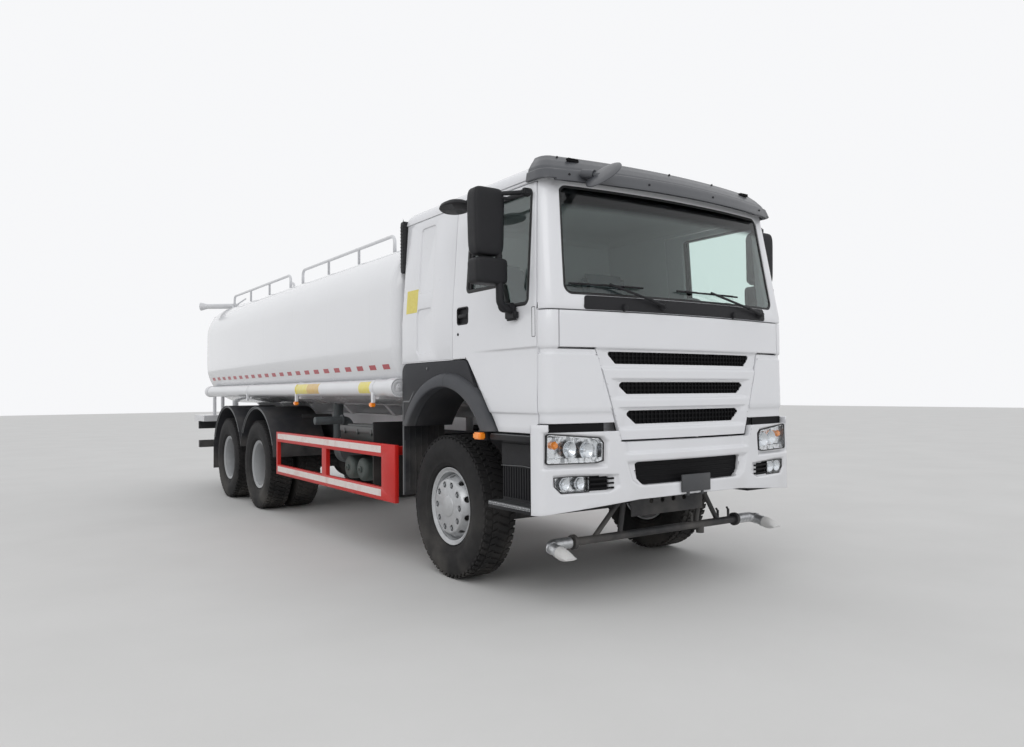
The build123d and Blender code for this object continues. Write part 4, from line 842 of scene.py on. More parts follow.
pane = kept_in(cab_wall("screen_pane", [screen_foot - 0.03, roof_seam - 0.02], 0.008, 0.015),
               through_nose("screen", screen_line))
settle(rounded(pane, 0.0, 30), "truck", glass, "glass", "windscreen")
edge = cab_wall("screen_edge", [screen_foot - 0.05, roof_seam - 0.005], 0.004, 0.020)
ringed(edge, screen_line, 0.034, 1, nose_near, nose_deep)
settle(rounded(edge, 0.002, 30), "truck", rubber_black, "black_plastic")

# The doors: pressed panels as deep as the wall, hung at their front edge. A crease runs back from
# the nose and dies out, the window sits in a rubber frame, and the handle lies in a black dish.
DOOR_STEPS = 45
door_rows = [1.12, 1.18, 1.22, 1.25, 1.262, 1.268, 1.274, 1.29, 1.34]
door_rows += [1.34 + 0.03 * i for i in range(1, 11)]
door_rows += [1.655, 1.67, 1.68, 1.69, 1.693, 1.696, 1.699, 1.702, 1.712, 1.75, 1.80, 1.85,
              1.885, 1.897, cab_belt, 2.043, 2.055, 2.09, 2.80]
window = along_truck(soft_outline([(-1.118, 1.985), (-1.100, 2.738), (-0.345, 2.738),
                                   (-0.345, 2.140), (-0.800, 2.140), (-0.862, 1.985)], 0.034))
handle_outline = soft_outline([(-0.215, 1.905), (-0.215, 2.035), (-0.375, 2.035),
                               (-0.375, 1.905)], 0.025)
hinge_cover = soft_outline([(-1.200, 1.765), (-1.200, 1.955), (-1.165, 1.955), (-1.165, 1.765)],
                           0.004)
divider = [(-0.385, 2.14), (-0.385, 2.735), (-0.362, 2.735), (-0.362, 2.14)]
black_plastic = Finish("grained_black", (0.016, 0.016, 0.018), Specular_IOR_Level=0.25)
black_plastic.gloss(40.0, 4.0, 0.2, 0.42)
black_plastic.grain(520.0, 2.0, 0.0006, 0.7)


def door_pressing(x, y, z):
    """Depth of the crease that fades towards the back, and of the tuck at the sill."""
    crease = 0.013 * (1 - ease(z, 1.690, 1.702)) * ease(z, 1.34, 1.66)
    crease *= 1 - ease(y, -1.00, -0.36)
    return crease + 0.010 * (1 - ease(z, 1.262, 1.274)) * ease(z, 1.0, 1.25)


def door_wall(name, heights, outer, inner, relief=None):
    """The left side and corner of the cab's form."""
    return cab_wall(name, heights, outer, inner, slice(0, DOOR_STEPS + CORNER_STEPS), relief,
                    (DOOR_STEPS, BOW_STEPS))


for name, side in (("left", 1), ("right", -1)):
    body, far = "door_" + name, far_out
    panel = door_wall("pressed_door_" + name, door_rows, 0.0, wall, door_pressing)
    kept_in(panel, across_truck("door_edge", door_points, 0.9, far))
    cut_by(panel, [prism("window", window, 0, 0.9, far),
                   across_truck("dish", handle_outline, cab_half - 0.028, far)])
    pane = kept_in(door_wall("door_pane_" + name, [1.95, cab_belt, 2.77], 0.022, 0.028),
                   prism("window", window, 0, 0.9, far))
    frame_edge = door_wall("window_rubber_" + name, [1.93, cab_belt, 2.79], -0.002, 0.040)
    ringed(frame_edge, window, 0.026, 0, 0.9, far)
    rail = across_truck("divider", divider, cab_top_half - 0.03, cab_half - 0.004)
    kept_in(rail, door_wall("rail_room", [1.95, cab_belt, 2.77], 0.006, 0.036))
    rubber_set = joined("window_frame_" + name, [frame_edge, rail])
    grip = slab("grip", (cab_half - 0.012, aft(-0.362), 1.955),
                (cab_half + 0.002, aft(-0.228), 1.985), 0.006)
    dish_floor = across_truck("dish_floor", grown(handle_outline, -0.003), cab_half - 0.030,
                              cab_half - 0.020)
    rim = across_truck("dish_rim", handle_outline, cab_half - 0.024, cab_half + 0.0015)
    cut_by(rim, [across_truck("dish_hole", grown(handle_outline, -0.010), cab_half - 0.05, far)])
    lock = put(peg("lock", 0.011, -0.004, 0.004, 20), (cab_half, aft(-0.232), 1.838))
    handle = joined("door_handle_" + name, [grip, dish_floor, rim, lock])
    seam = across_truck("hinge_cover_seam_" + name, grown(hinge_cover, 0.002), cab_half - 0.004,
                        cab_half + 0.0008)
    cut_by(seam, [across_truck("seam_inside", grown(hinge_cover, -0.002), cab_half - 0.02, far)])
    for piece, finish, *slot_and_node in (
            (rounded(panel, 0.003, 30), cab_paint, "cab_paint", body),
            (pane, glass, "glass", "door_glass_" + name),
            (rounded(rubber_set, 0.002, 30), rubber_black, "black_plastic"),
            (rounded(handle, 0.0015, 30), black_plastic, "black_plastic"),
            (seam, rubber_black, "black_plastic")):
        settle(placed(piece, Matrix.Scale(side, 4, (1, 0, 0))), body, finish, *slot_and_node)

# The nose: a one-piece pressed cover hinged under the windscreen. A plain strip stands over three
# slots, each in a stepped surround, and a black honeycomb grille is fixed behind them.
strip_half, strip_foot, cover_head, cover_foot = 1.075, 1.695, 1.930, 1.088
grille_head_half, grille_foot_half = 0.800, 0.612
COVER_STEPS = 168
slots = [
    # foot, head, half width at the head, where it is widest, at the foot, height of the widest
    (1.590, 1.670, 0.720, 0.680, 0.640, 1.630),
    (1.390, 1.470, 0.590, 0.620, 0.550, 1.448),
    (1.190, 1.280, 0.530, 0.560, 0.478, 1.255),
]


def grille_half(z):
    share = (z - cover_foot) / (strip_foot - cover_foot)
    return grille_foot_half + (grille_head_half - grille_foot_half) * share


def both_sides(points):
    """A half outline on the right side, and its mirror image on the left."""
    return points + [(-x, z) for x, z in reversed(points)]


def bow_of(steps):
    """The bowed stretch of a plan line, with one point of each corner."""
    return slice(SIDE_STEPS + CORNER_STEPS - 1, SIDE_STEPS + CORNER_STEPS + steps)


def cover_pressing(x, y, z):
    """Each slot sits in a pocket under a step, over a ledge that comes forward again."""
    depth = 0.016 * (1 - ease(z, strip_foot - 0.010, strip_foot - 0.002)) * ease(z, 1.600, 1.640)
    for foot, head, top, *_ in slots:
        step_z, half, inner = head + 0.020, grille_half(z), top + 0.075
        if head < strip_foot - 0.1:
            shelf = 1 - ease(z, step_z - 0.004, step_z + 0.004)
            shelf *= ease(z, foot + 0.02, head - 0.01)
            depth = max(depth, 0.013 * shelf * (1 - ease(abs(x), half - 0.075, half - 0.040)))
        pocket = 1 - ease(abs(x), inner - 0.055, inner + 0.035)
        pocket *= (1 - ease(z, head + 0.006, head + 0.016)) * ease(z, foot - 0.042, foot - 0.014)
        depth = max(depth, 0.021 * pocket)
    return depth


def slot_form(foot, head, top, middle, base, widest):
    """A slot's outline, pushed through the nose."""
    outline = both_sides([(-top, head), (-middle, widest), (-base, foot)])
    return through_nose("slot", soft_outline(outline, 0.014, 4))


cover_rows = sorted([cover_foot - 0.02 + 0.0055 * i for i in range(114)]
                    + [strip_foot + 0.002, strip_foot + 0.02, 1.80, 1.90, 1.95])
cover = cab_wall("pressed_cover", cover_rows, 0.0, 0.031, bow_of(COVER_STEPS), cover_pressing,
                 (SIDE_STEPS, COVER_STEPS))
cover_points = both_sides([(-strip_half, cover_head), (-strip_half, strip_foot),
                           (-grille_head_half, strip_foot), (-grille_foot_half, cover_foot)])
kept_in(cover, through_nose("cover_edge", cover_points))
cut_by(cover, [slot_form(*slot) for slot in slots])
settle(rounded(cover, 0.0018, 34), "front_flap", cab_paint, "cab_paint", "front_flap")

grille_black = Finish("grille_black", (0.007, 0.007, 0.008), Specular_IOR_Level=0.15)
grille_black.gloss(60.0, 3.0, 0.2, 0.5)
backing = cab_wall("grille_backing", [1.150, 1.685], 0.034, 0.042, bow_of(BOW_STEPS))
ribs = [kept_in(backing, through_nose("backing_edge",
                                      both_sides([(-0.770, 1.685), (-0.632, 1.150)])))]
bow_radius = (cab_half - nose_corner) ** 2 / (2 * nose_bow) + nose_bow / 2
for foot, head, top, middle, *rest in slots:
    for share in (0.32, 0.68):
        z = foot + (head - foot) * share
        rib = cab_wall("rib", [z - 0.004, z + 0.004], 0.024, 0.038, bow_of(BOW_STEPS))
        ribs.append(kept_in(rib, slab("rib_room", (-top - 0.01, nose_near, 1.0),
                                      (top + 0.01, nose_deep, 1.8))))
    count, half_fin = int(2 * middle / 0.034), (head - foot) / 2 + 0.004
    fins = row_of("fins", slab("fin", (-0.002, -0.006, -half_fin), (0.002, 0.010, half_fin)),
                  grille_black, count, (2 * (middle - 0.01) / (count - 1), 0, 0),
                  (-middle + 0.01, 0, 0))
    for vertex in fins.data.vertices:
        bow = bow_radius - math.sqrt(bow_radius ** 2 - vertex.co.x ** 2)
        vertex.co += Vector((0, cab_nose + bow + 0.026, (foot + head) / 2))
    ribs.append(kept_in(fins, slot_form(foot, head, top, middle, *rest)))
settle(rounded(joined("honeycomb_grille", ribs), 0.0, 30), "front_flap", grille_black,
       "black_plastic", "grille_insert")

# The corner panels: one each side of the nose, bolted over the headlamp, with the same crease.
panel_foot, crease_gap = 1.205, 0.012


def corner_pressing(x, y, z):
    crease = 0.013 * (1 - ease(z, strip_foot - 0.012, strip_foot - 0.002)) * ease(z, 1.640, 1.662)
    crease = max(crease, 0.004 * (1 - ease(z, 1.690, 1.702)) * ease(z, 1.34, 1.66))
    return crease + 0.010 * (1 - ease(z, 1.262, 1.285))


corner_rows = [1.19, 1.21, 1.23, 1.25, 1.262, 1.27, 1.278, 1.285, 1.31, 1.40, 1.50, 1.60, 1.635]
corner_rows += [1.64 + 0.003 * i for i in range(1, 8)] + [1.67, 1.675]
corner_rows += [1.680 + 0.002 * i for i in range(1, 10)] + [1.71, 1.80, 1.95]
crease_z = strip_foot - crease_gap
corner_points = [(far_out, panel_foot), (grille_half(panel_foot) + panel_gap, panel_foot),
                 (grille_half(crease_z) + panel_gap, crease_z), (strip_half + panel_gap, crease_z),
                 (strip_half + panel_gap, cover_head), (far_out, cover_head)]
corner = cab_wall("corner_panel", corner_rows, 0.0, 0.030, slice(40, 100), corner_pressing,
                  (DOOR_STEPS, 2 * BOW_STEPS))
kept_in(corner, prism("corner_edge", corner_points, 1, nose_near, nose_edge))
rounded(corner, 0.003, 30)
fitted("nose_corners", [mirrored(corner, "right_corner"), corner], 30, cab_paint, "cab_paint",
       "corner_panels")

# The cowl: a black moulding under the windscreen with two bosses, where the wiper spindles come
# through. Each wiper is a flat pressed arm with a sprung bridge and a rubber blade.
cowl_half, cowl_foot, cowl_head = 0.900, 1.940, 2.031
cowl_line = both_sides([(-cowl_half, cowl_foot), (-cowl_half + 0.012, cowl_head)])
cowl = cab_wall("cowl_moulding", [cowl_foot - 0.01, cab_belt, cowl_head + 0.01], -0.006, -0.0004)
kept_in(cowl, prism("cowl_edge", soft_outline(cowl_line, 0.02), 1, nose_near, aft(-1.1)))
wipers = [(-0.250, -1.000, -0.410), (0.820, -0.100, 0.560)]  # spindle, the blade's two ends across
wiper_blade_z = screen_foot + 0.068
knob_back, knob_z, boss_z = 0.330, 1.962, 1.985


def bowed_y(x, half, front, bow, corner):
    """How far forward a bowed front lies at a place across it."""
    reach = half - corner
    radius = (reach ** 2 + bow ** 2) / (2 * bow)
    return front + radius - math.sqrt(radius ** 2 - min(abs(x), reach) ** 2)


def front_y(x, z, out=0.0):
    """The cab's front face at a place across it."""
    return bowed_y(x, *cab_level(z), nose_bow, nose_corner) - out


def aimed(piece, place, way):
    """Turns a piece's own x to point along a way, at a place."""
    turn = way.to_track_quat("X", "Z").to_matrix().to_4x4()
    return placed(piece, Matrix.Translation(place) @ turn)


def rod_between(name, start, end, radius, steps=16):
    along = Vector(end) - Vector(start)
    return aimed(peg(name, radius, 0.0, along.length, steps), start, along)


def facing_front(name, profile, steps, place):
    """A turned piece whose axis points straight ahead."""
    return put(lathe(name, profile, steps), place, -QUARTER)


boss_profile = [(0.0, 0.0), (0.0, 0.034), (0.020, 0.028), (0.034, 0.018), (0.036, 0.0)]
knob_profile = [(0.0, 0.0), (0.0, 0.026), (0.024, 0.021), (0.028, 0.0)]
cap_profile = [(0.0, 0.0), (0.0, 0.019), (0.018, 0.016), (0.020, 0.0)]
cowl_parts, wiper_parts = [cowl], []
for foot, blade_from, blade_to in wipers:
    knob_x, middle = foot - knob_back, (blade_from + blade_to) / 2
    cowl_parts.append(facing_front("boss", boss_profile, 32, (foot, front_y(foot, boss_z), boss_z)))
    cowl_parts.append(facing_front("knob", knob_profile, 28,
                                   (knob_x, front_y(knob_x, knob_z), knob_z)))
    pivot = Vector((foot, front_y(foot, boss_z, 0.032), boss_z))
    elbow = Vector((middle, front_y(middle, wiper_blade_z, 0.034), wiper_blade_z + 0.006))
    knee = pivot.lerp(elbow, 0.30) + Vector((0, -0.012, 0.0))
    wiper_parts.append(rod_between("arm", pivot, knee, 0.0115, 12))
    wiper_parts.append(rod_between("arm", knee, elbow, 0.0085, 12))

    def on_blade(share, out):
        x = blade_from + (blade_to - blade_from) * share
        return Vector((x, front_y(x, wiper_blade_z, out), wiper_blade_z))

    for i in range(8):
        start, end = on_blade(i / 8, 0.011), on_blade((i + 1) / 8, 0.011)
        wiper_parts.append(rod_between("blade", start, end, 0.0065, 8))
    for share in (0.2, 0.5, 0.8):
        at, reach = on_blade(share, 0.021), Vector((0.06, 0, 0))
        wiper_parts.append(rod_between("claw", at - reach, at + reach, 0.006, 8))
    wiper_parts.append(facing_front("cap", cap_profile, 24, pivot + Vector((0, 0.006, 0))))
fitted("cowl_moulding", cowl_parts, 35, black_plastic, "black_plastic", "cowl_panel")
fitted("wipers", wiper_parts, 35, black_plastic, "black_plastic")

# The bumper: a deep one-piece moulding in body colour. Its top dips under the nose, a brow stands
# over each headlamp, and pockets hold the lamps, the fog lamps and the air intake.
bumper_low, bumper_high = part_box("bumper")
bumper_half, bumper_front, bumper_back = bumper_high.x, bumper_low.y, aft(-1.226)
bumper_bow, bumper_corner, bumper_wall = 0.125, 0.090, 0.050
brow_top, lamp_shelf, bumper_mid = 1.200, 1.150, 1.076
far_ahead, deep = aft(-1.70), aft(-1.10)
bumper_line = [(0.0, 0.700), (0.500, 0.694), (bumper_half, 0.632), (bumper_half, brow_top),
               (1.172, brow_top), (1.172, lamp_shelf),
               (grille_half(lamp_shelf) + 0.026, lamp_shelf),
               (grille_foot_half + 0.026, bumper_mid + 0.004),
               (grille_foot_half - 0.010, bumper_mid), (0.0, bumper_mid)]
bumper_outline = bumper_line + [(-x, z) for x, z in bumper_line[-2:0:-1]]
headlamp_line = [(0.775, 0.962), (0.772, 1.078), (0.800, 1.108), (1.160, 1.140), (1.176, 1.134),
                 (1.180, 0.962), (1.168, 0.953), (0.830, 0.950)]
fog_line = [(0.735, 0.770), (0.735, 0.862), (1.000, 0.872), (1.130, 0.868), (1.128, 0.810),
            (1.080, 0.765)]
fog_lens_line = [(0.884, 0.768), (0.884, 0.866), (1.000, 0.870), (1.128, 0.866), (1.126, 0.811),
                 (1.079, 0.767)]
intake_line = both_sides([(-0.520, 0.940), (-0.505, 0.830), (-0.455, 0.785)])
BUMPER_PRESSINGS = [
    # outline of a sloped surround, its depth, the width of its slope
    ([(0.745, 0.915), (0.735, 1.090), (0.775, 1.125), (1.212, 1.160), (1.212, 0.915)],
     0.026, 0.022),
    ([(0.650, 0.790), (0.665, 0.872), (1.000, 0.888), (1.145, 0.884), (1.145, 0.810),
      (1.090, 0.752), (0.735, 0.752)], 0.016, 0.014),
    ([(-0.1, 0.775), (0.500, 0.775), (0.560, 0.815), (0.605, 0.955), (-0.1, 0.955)], 0.024, 0.030),
]


def inside_by(x, z, line):
    """How far a place lies inside an outline, in metres; negative outside."""
    nearest, inside = 9.0, False
    for (ax, az), (bx, bz) in zip(line, line[1:] + line[:1]):
        if (az > z) != (bz > z) and x < (bx - ax) * (z - az) / (bz - az) + ax:
            inside = not inside
        span = max((bx - ax) ** 2 + (bz - az) ** 2, 1e-9)
        share = min(max(((x - ax) * (bx - ax) + (z - az) * (bz - az)) / span, 0.0), 1.0)
        nearest = min(nearest, math.hypot(ax + (bx - ax) * share - x, az + (bz - az) * share - z))
    return nearest if inside else -nearest


def bumper_pressing(x, y, z):
    """Sloped surrounds about the pockets, and the band that dips in under the nose."""
    band = ease(z, 0.992, 1.010) * (1 - ease(abs(x), 0.555, 0.620))
    return max([0.030 * band] + [depth * ease(inside_by(abs(x), z, line), 0.0, slope)
                                 for line, depth, slope in BUMPER_PRESSINGS])


def bumper_rows(levels, inset, bow_steps, pressing=None):
    """Rows of the bumper's curve at an inset."""
    rows = []
    for z in levels:
        line = plan_line(bumper_half, bumper_front, bumper_back + inset, bumper_bow, bumper_corner,
                         inset, 8, bow_steps)
        rows.append([(x, y, z) for x, y in (pressed_in(line, z, pressing) if pressing else line)])
    return rows


def bumper_sheet(name, low, high, outer, inner, line):
    """A sheet that follows the bumper's curve, cut to an outline."""
    sheet = wall_mesh(name, bumper_rows((low, high), outer, 96),
                      bumper_rows((low, high), inner, 96), False)
    return kept_in(sheet, prism(name + "_edge", line, 1, far_ahead, deep))


def on_side(side, line):
    return [(side * x, z) for x, z in line]


bumper_levels = [0.60, 0.66, 0.70, 0.735] + [0.745 + 0.0075 * i for i in range(56)] + [1.175, 1.21]
bumper = wall_mesh("bumper_moulding", bumper_rows(bumper_levels, 0.0, 220, bumper_pressing),
                   bumper_rows((0.60, 1.21), bumper_wall, 220), False)
kept_in(bumper, prism("bumper_edge", bumper_outline, 1, far_ahead, deep))
pockets = [soft_outline(intake_line, 0.02)]
pockets += [soft_outline(on_side(side, line), 0.012) for line in (headlamp_line, fog_line)
            for side in (-1, 1)]
cut_by(bumper, [prism("pocket", line, 1, far_ahead, deep) for line in pockets])
bumper_ties = [slab("tie", (x - 0.03, aft(-1.39), 0.960), (x + 0.03, aft(-1.04), 1.040), 0.004)
               for x in (-0.4553, 0.4553)]
fitted("bumper_moulding", [rounded(bumper, 0.004, 34)] + bumper_ties, 34, cab_paint, "cab_paint",
       "bumper")

# The black mouldings behind the intake, in the slots over the headlamps and beside the fog lamps,
# the latter with three fins.
slot_line = [(0.740, lamp_shelf - 0.030), (0.740, panel_foot - 0.002), (1.188, panel_foot - 0.002),
             (1.188, lamp_shelf - 0.030)]
louvre_line = [(0.735, 0.770), (0.735, 0.862), (0.880, 0.866), (0.880, 0.768)]
insert_parts = [bumper_sheet("intake_back", 0.76, 0.97, 0.050, 0.060,
                             both_sides([(-0.56, 0.77), (-0.56, 0.96)]))]
for side in (-1, 1):
    insert_parts.append(bumper_sheet("slot_back", 1.10, 1.22, 0.050, 0.060,
                                     on_side(side, slot_line)))
    insert_parts.append(bumper_sheet("louvre_back", 0.75, 0.88, 0.030, 0.050,
                                     on_side(side, louvre_line)))
    for z in (0.785, 0.815, 0.845):
        fin_line = [(0.700, z - 0.02), (0.700, z + 0.02), (0.880, z + 0.02), (0.880, z - 0.02)]
        insert_parts.append(bumper_sheet("fin", z - 0.006, z + 0.006, 0.004, 0.032,
                                         on_side(side, fin_line)))
for z in (0.812, 0.842, 0.872, 0.902):
    insert_parts.append(bumper_sheet("bar", z - 0.004, z + 0.004, 0.042, 0.052,
                                     both_sides([(-0.50, z - 0.02), (-0.50, z + 0.02)])))
fitted("bumper_black_trim", insert_parts, 35, grille_black, "black_plastic", "bumper_inserts")

# The lamps: clear polycarbonate lenses over bright reflectors. The headlamp holds a dipped and a
# main reflector and an amber indicator bulb, the fog lamp two round reflectors.
chrome = Finish("bright_reflector", (0.80, 0.81, 0.82), Metallic=1.0)
# Painted reflections: dark and bright patches in the reflector's colour stand for its facets catching different
# light.
painted_facet_reflections = chrome.noise(34.0, 1.0, (1.0, 1.0, 0.5)).over(0.36, 0.52)
chrome.colour((0.42, 0.43, 0.44), (0.90, 0.91, 0.92), painted_facet_reflections)
chrome.gloss(90.0, 2.0, 0.15, 0.16)
chrome.grain(70.0, 2.0, 0.0012, 0.4)
lens_clear = Finish("clear_lens", (0.97, 0.98, 0.99), Transmission_Weight=1.0, IOR=1.25)
lens_clear.feed("Roughness", lens_clear.noise(30.0) * 0.03)
amber = Finish("amber_lens", (0.90, 0.28, 0.03), Coat_Weight=0.8, Emission_Strength=0.3)
amber.gloss(60.0, 3.0, 0.15, 0.12)
amber.feed("Emission Color", amber.mix((0.35, 0.08, 0.0), (0.5, 0.14, 0.0), amber.noise(40.0)))
bulb_white = Finish("reflector_bowl", (0.78, 0.80, 0.82), Metallic=1.0)
bulb_white.gloss(50.0, 3.0, 0.15, 0.14)


def bumper_face_y(x, out=0.0):
    past = max(abs(x) - bumper_half + bumper_corner, 0.0)
    return (bowed_y(x, bumper_half, bumper_front, bumper_bow, bumper_corner) - out
            + bumper_corner - math.sqrt(max(bumper_corner ** 2 - past ** 2, 0.0)))


def bowl(name, x, z, radius, depth, out):
    """A round reflector that opens forwards, with a bulb in it."""
    place = (x, bumper_face_y(x, out), z)
    dish = facing_front(name, [
        (0.0, radius), (0.0, radius + 0.004), (-depth, radius * 0.35), (-depth, 0.0),
        (-depth + 0.012, 0.0), (-depth + 0.012, radius * 0.25), (-0.004, radius - 0.004)],
        40, place)
    bulb = facing_front(name, [(-depth + 0.008, 0.0), (-depth + 0.008, radius * 0.20),
                               (-depth * 0.35, radius * 0.20), (-depth * 0.2, 0.0)], 20, place)
    return joined(name, [dish, bulb])


lens_parts, bowl_parts, amber_parts, chrome_parts, gasket_parts = [], [], [], [], []
for side in (-1, 1):
    lamp, fog = on_side(side, headlamp_line), on_side(side, fog_lens_line)
    lens_parts.append(bumper_sheet("lens", 0.94, 1.15, 0.016, 0.021, grown(lamp, -0.004)))
    lens_parts.append(bumper_sheet("fog_lens", 0.75, 0.88, 0.012, 0.016, grown(fog, -0.003)))
    rim = bumper_sheet("lamp_rim", 0.93, 1.16, 0.018, 0.082, grown(lamp, 0.006))
    for line, width in ((lamp, 0.006), (fog, 0.005)):
        gasket = bumper_sheet("gasket", 0.74, 1.16, 0.010, 0.030, grown(line, 0.006))
        gasket_parts.append(ringed(gasket, line, width, 1, far_ahead, deep))
    x = side * 1.105
    chrome_parts += [
        bumper_sheet("lamp_back", 0.94, 1.15, 0.078, 0.084, grown(lamp, 0.004)),
        ringed(rim, grown(lamp, -0.004), 0.010, 1, far_ahead, deep),
        bumper_sheet("fog_back", 0.75, 0.88, 0.046, 0.050, grown(fog, 0.002)),
        bumper_sheet("lamp_shelf", 0.958, 0.985, 0.026, 0.078, grown(lamp, -0.006)),
        slab("bright_fin", (x - 0.055, bumper_face_y(x, -0.060), 0.990),
             (x + 0.030, bumper_face_y(x, -0.066), 1.120), 0.002)]
    for across, z, radius, depth, out in ((0.880, 1.030, 0.052, 0.040, -0.040),
                                          (1.000, 1.040, 0.050, 0.040, -0.040),
                                          (0.945, 0.822, 0.038, 0.024, -0.022),
                                          (1.050, 0.822, 0.038, 0.024, -0.022)):
        bowl_parts.append(bowl("bowl", side * across, z, radius, depth, out))
    amber_parts.append(facing_front("amber_bulb", [(-0.03, 0.0), (-0.03, 0.020), (0.004, 0.026),
                                                   (0.018, 0.018), (0.022, 0.0)], 24,
                                    (x, bumper_face_y(x, -0.045), 1.068)))
fitted("lamp_lenses", lens_parts, 35, lens_clear, "lamp_glass", "front_lamps")
fitted("lamp_reflectors", chrome_parts, 35, chrome, "lamp_glass")
fitted("lamp_gaskets", gasket_parts, 35, rubber_black, "black_plastic")
fitted("lamp_bowls", bowl_parts, 35, bulb_white, "lamp_glass")
fitted("indicator_bulbs", amber_parts, 35, amber, "lamp_glass")

# The number plate's bare holder: a folded grey sheet under the intake, and the plain towing plate
# with four holes below the bumper.
holder_grey = painted("holder_grey", (0.075, 0.077, 0.082), 0.45, 0.2, Specular_IOR_Level=0.3)
holder = [slab("plate_holder", (-0.140, bumper_front - 0.016, 0.715),
               (0.142, bumper_front - 0.004, 0.835), 0.002)]
holder += [slab("holder_stay", (x - 0.012, bumper_front - 0.006, 0.69),
                (x + 0.012, bumper_front + 0.02, 0.72), 0.001) for x in (-0.07, 0.07)]
tow = slab("tow_plate", (-0.36, aft(-1.19), 0.535), (0.36, aft(-1.182), 0.770), 0.002)
hole = put(peg("tow_hole", 0.020, -0.03, 0.03, 20), (0, 0, 0), QUARTER)
cut_by(tow, [row_of("tow_holes", hole, holder_grey, 4, (0.110, 0, 0),
                    (-0.165, aft(-1.186), 0.635))])
settle(rounded(joined("plate_holder", holder), 0.0015, 32), "truck", holder_grey, "chassis_paint")
settle(rounded(tow, 0.0015, 32), "truck", chassis_paint, "chassis_paint")

# The visor: a smoke-grey moulding bolted over the windscreen, with a crease along it, black marker
# lamps, bolt heads and a round mirror on its near end.
visor_levels = [
    # height, half width, front, bow, corner, rear, all from the front axle
    (2.776, 1.150, -1.392, 0.120, 0.095, -1.060),
    (2.846, 1.137, -1.366, 0.120, 0.095, -1.057),
    (2.882, 1.128, -1.345, 0.120, 0.095, -1.055),
    (2.930, 1.092, -1.296, 0.110, 0.085, -1.040),
    (2.975, 1.045, -1.228, 0.098, 0.070, -1.022),
    (3.002, 0.985, -1.155, 0.090, 0.060, -1.010),
]
visor_smoke = Finish("visor_smoke", (0.060, 0.063, 0.070), Coat_Weight=0.25, Coat_Roughness=0.2)
visor_smoke.colour((0.050, 0.053, 0.060), (0.072, 0.075, 0.083), visor_smoke.noise(6.0, 4.0))
visor_smoke.gloss(30.0, 3.0, 0.15, 0.34)
visor_smoke.grain(300.0, 3.0, 0.0004, 0.5)


def visor_pressing(x, y, z):
    """The lengthwise crease: the face stands back above it."""
    line = 2.868 - 0.012 * (abs(x) / 1.1) ** 2
    return 0.010 * ease(z, line - 0.003, line + 0.004) * (1 - ease(z, 2.93, 2.99))


def visor_at(z):
    for lower, upper in zip(visor_levels, visor_levels[1:]):
        if z <= upper[0]:
            share = (z - lower[0]) / (upper[0] - lower[0])
            return [a + (b - a) * share for a, b in zip(lower, upper)]


def visor_line(z, inset):
    _, half, front, bow, corner, rear = visor_at(z)
    return plan_line(half, aft(front), aft(rear), bow, corner, inset, 10, 72)


heights = sorted({2.776, 2.80, 2.83, 2.846, 2.882, 2.93, 2.975, 3.002}
                 | {2.850 + 0.003 * i for i in range(10)} | {2.89 + 0.01 * i for i in range(11)})
outer = [[(x, y, z) for x, y in pressed_in(visor_line(z, 0.0), z, visor_pressing)] for z in heights]
inner = [[(x, y, z) for x, y in visor_line(level, 0.028)] for z, level in (
    (2.776, 2.776), (2.86, 2.86 + 0.026), (2.93, 2.93 + 0.026), (2.975, 3.0))]
visor = pan("visor_moulding", outer, inner)


def closed_rows(name, rows):
    """A closed skin over a stack of rings, with a face at each end."""
    form = bmesh.new()
    rings = stacked(form, rows)
    form.faces.new(rings[0])
    form.faces.new(rings[-1])
    return solid(name, form)


no_go = [cab_wall("cab_room", [2.70, roof_seam], -0.003, 0.9),
         closed_rows("roof_room", roof_stack(0.0, -0.004))]
for side in (-1, 1):
    near, far = sorted((side * 1.048, side * far_out))
    no_go.append(slab("door_sweep", (near, aft(-1.287), 2.70), (far, aft(0), 2.790)))
cut_by(visor, no_go)
settle(rounded(visor, 0.003, 34), "truck", visor_smoke, "visor_plastic", "roof_visor")


def visor_face(x, z, out):
    """A place on the visor's front."""
    _, half, front, bow, corner, _ = visor_at(z)
    return Vector((x, bowed_y(x, half, aft(front), bow, corner) - out, z))


marker_parts, stud_parts = [], []
for x in (-0.86, 0.86):
    lamp = slab("marker", (-0.052, -0.016, -0.014), (0.052, 0.012, 0.014), 0.010, 3)
    marker_parts.append(put(lamp, visor_face(x, 2.945, 0.002), math.radians(-38), "X"))
for radius, z, out, places in ((0.008, 2.822, 0.001, (-0.95, -0.32, 0.32, 0.95)),
                               (0.007, 2.968, 0.002, (-0.95, -0.475, 0.0, 0.475, 0.95))):
    for x in places:
        stud_parts.append(put(peg("stud", radius, -0.004, 0.004, 16), visor_face(x, z, out),
                              -QUARTER))
fitted("visor_marker_lamps", marker_parts, 35, grille_black, "black_plastic")
fitted("visor_studs", stud_parts, 35, black_plastic, "black_plastic")

mirror_at, mirror_foot = Vector((-0.800, aft(-1.445), 2.798)), Vector((-0.860, aft(-1.300), 2.834))
mirror_way = Vector((-0.68, -0.08, 0.72)).normalized()
disc = lathe("front_mirror", [(0.0, 0.0), (0.0, 0.122), (0.003, 0.130), (0.009, 0.129),
                              (0.016, 0.110), (0.022, 0.070), (0.024, 0.0)], 56)
aimed(disc, mirror_at, mirror_way)
arm = rod_between("mirror_arm", mirror_foot, mirror_at - mirror_way * 0.004, 0.019, 20)
base = rod_between("mirror_base", mirror_foot, mirror_foot.lerp(mirror_at, 0.55), 0.030, 24)
fitted("front_view_mirror", [disc, arm, base], 40, visor_smoke, "visor_plastic")

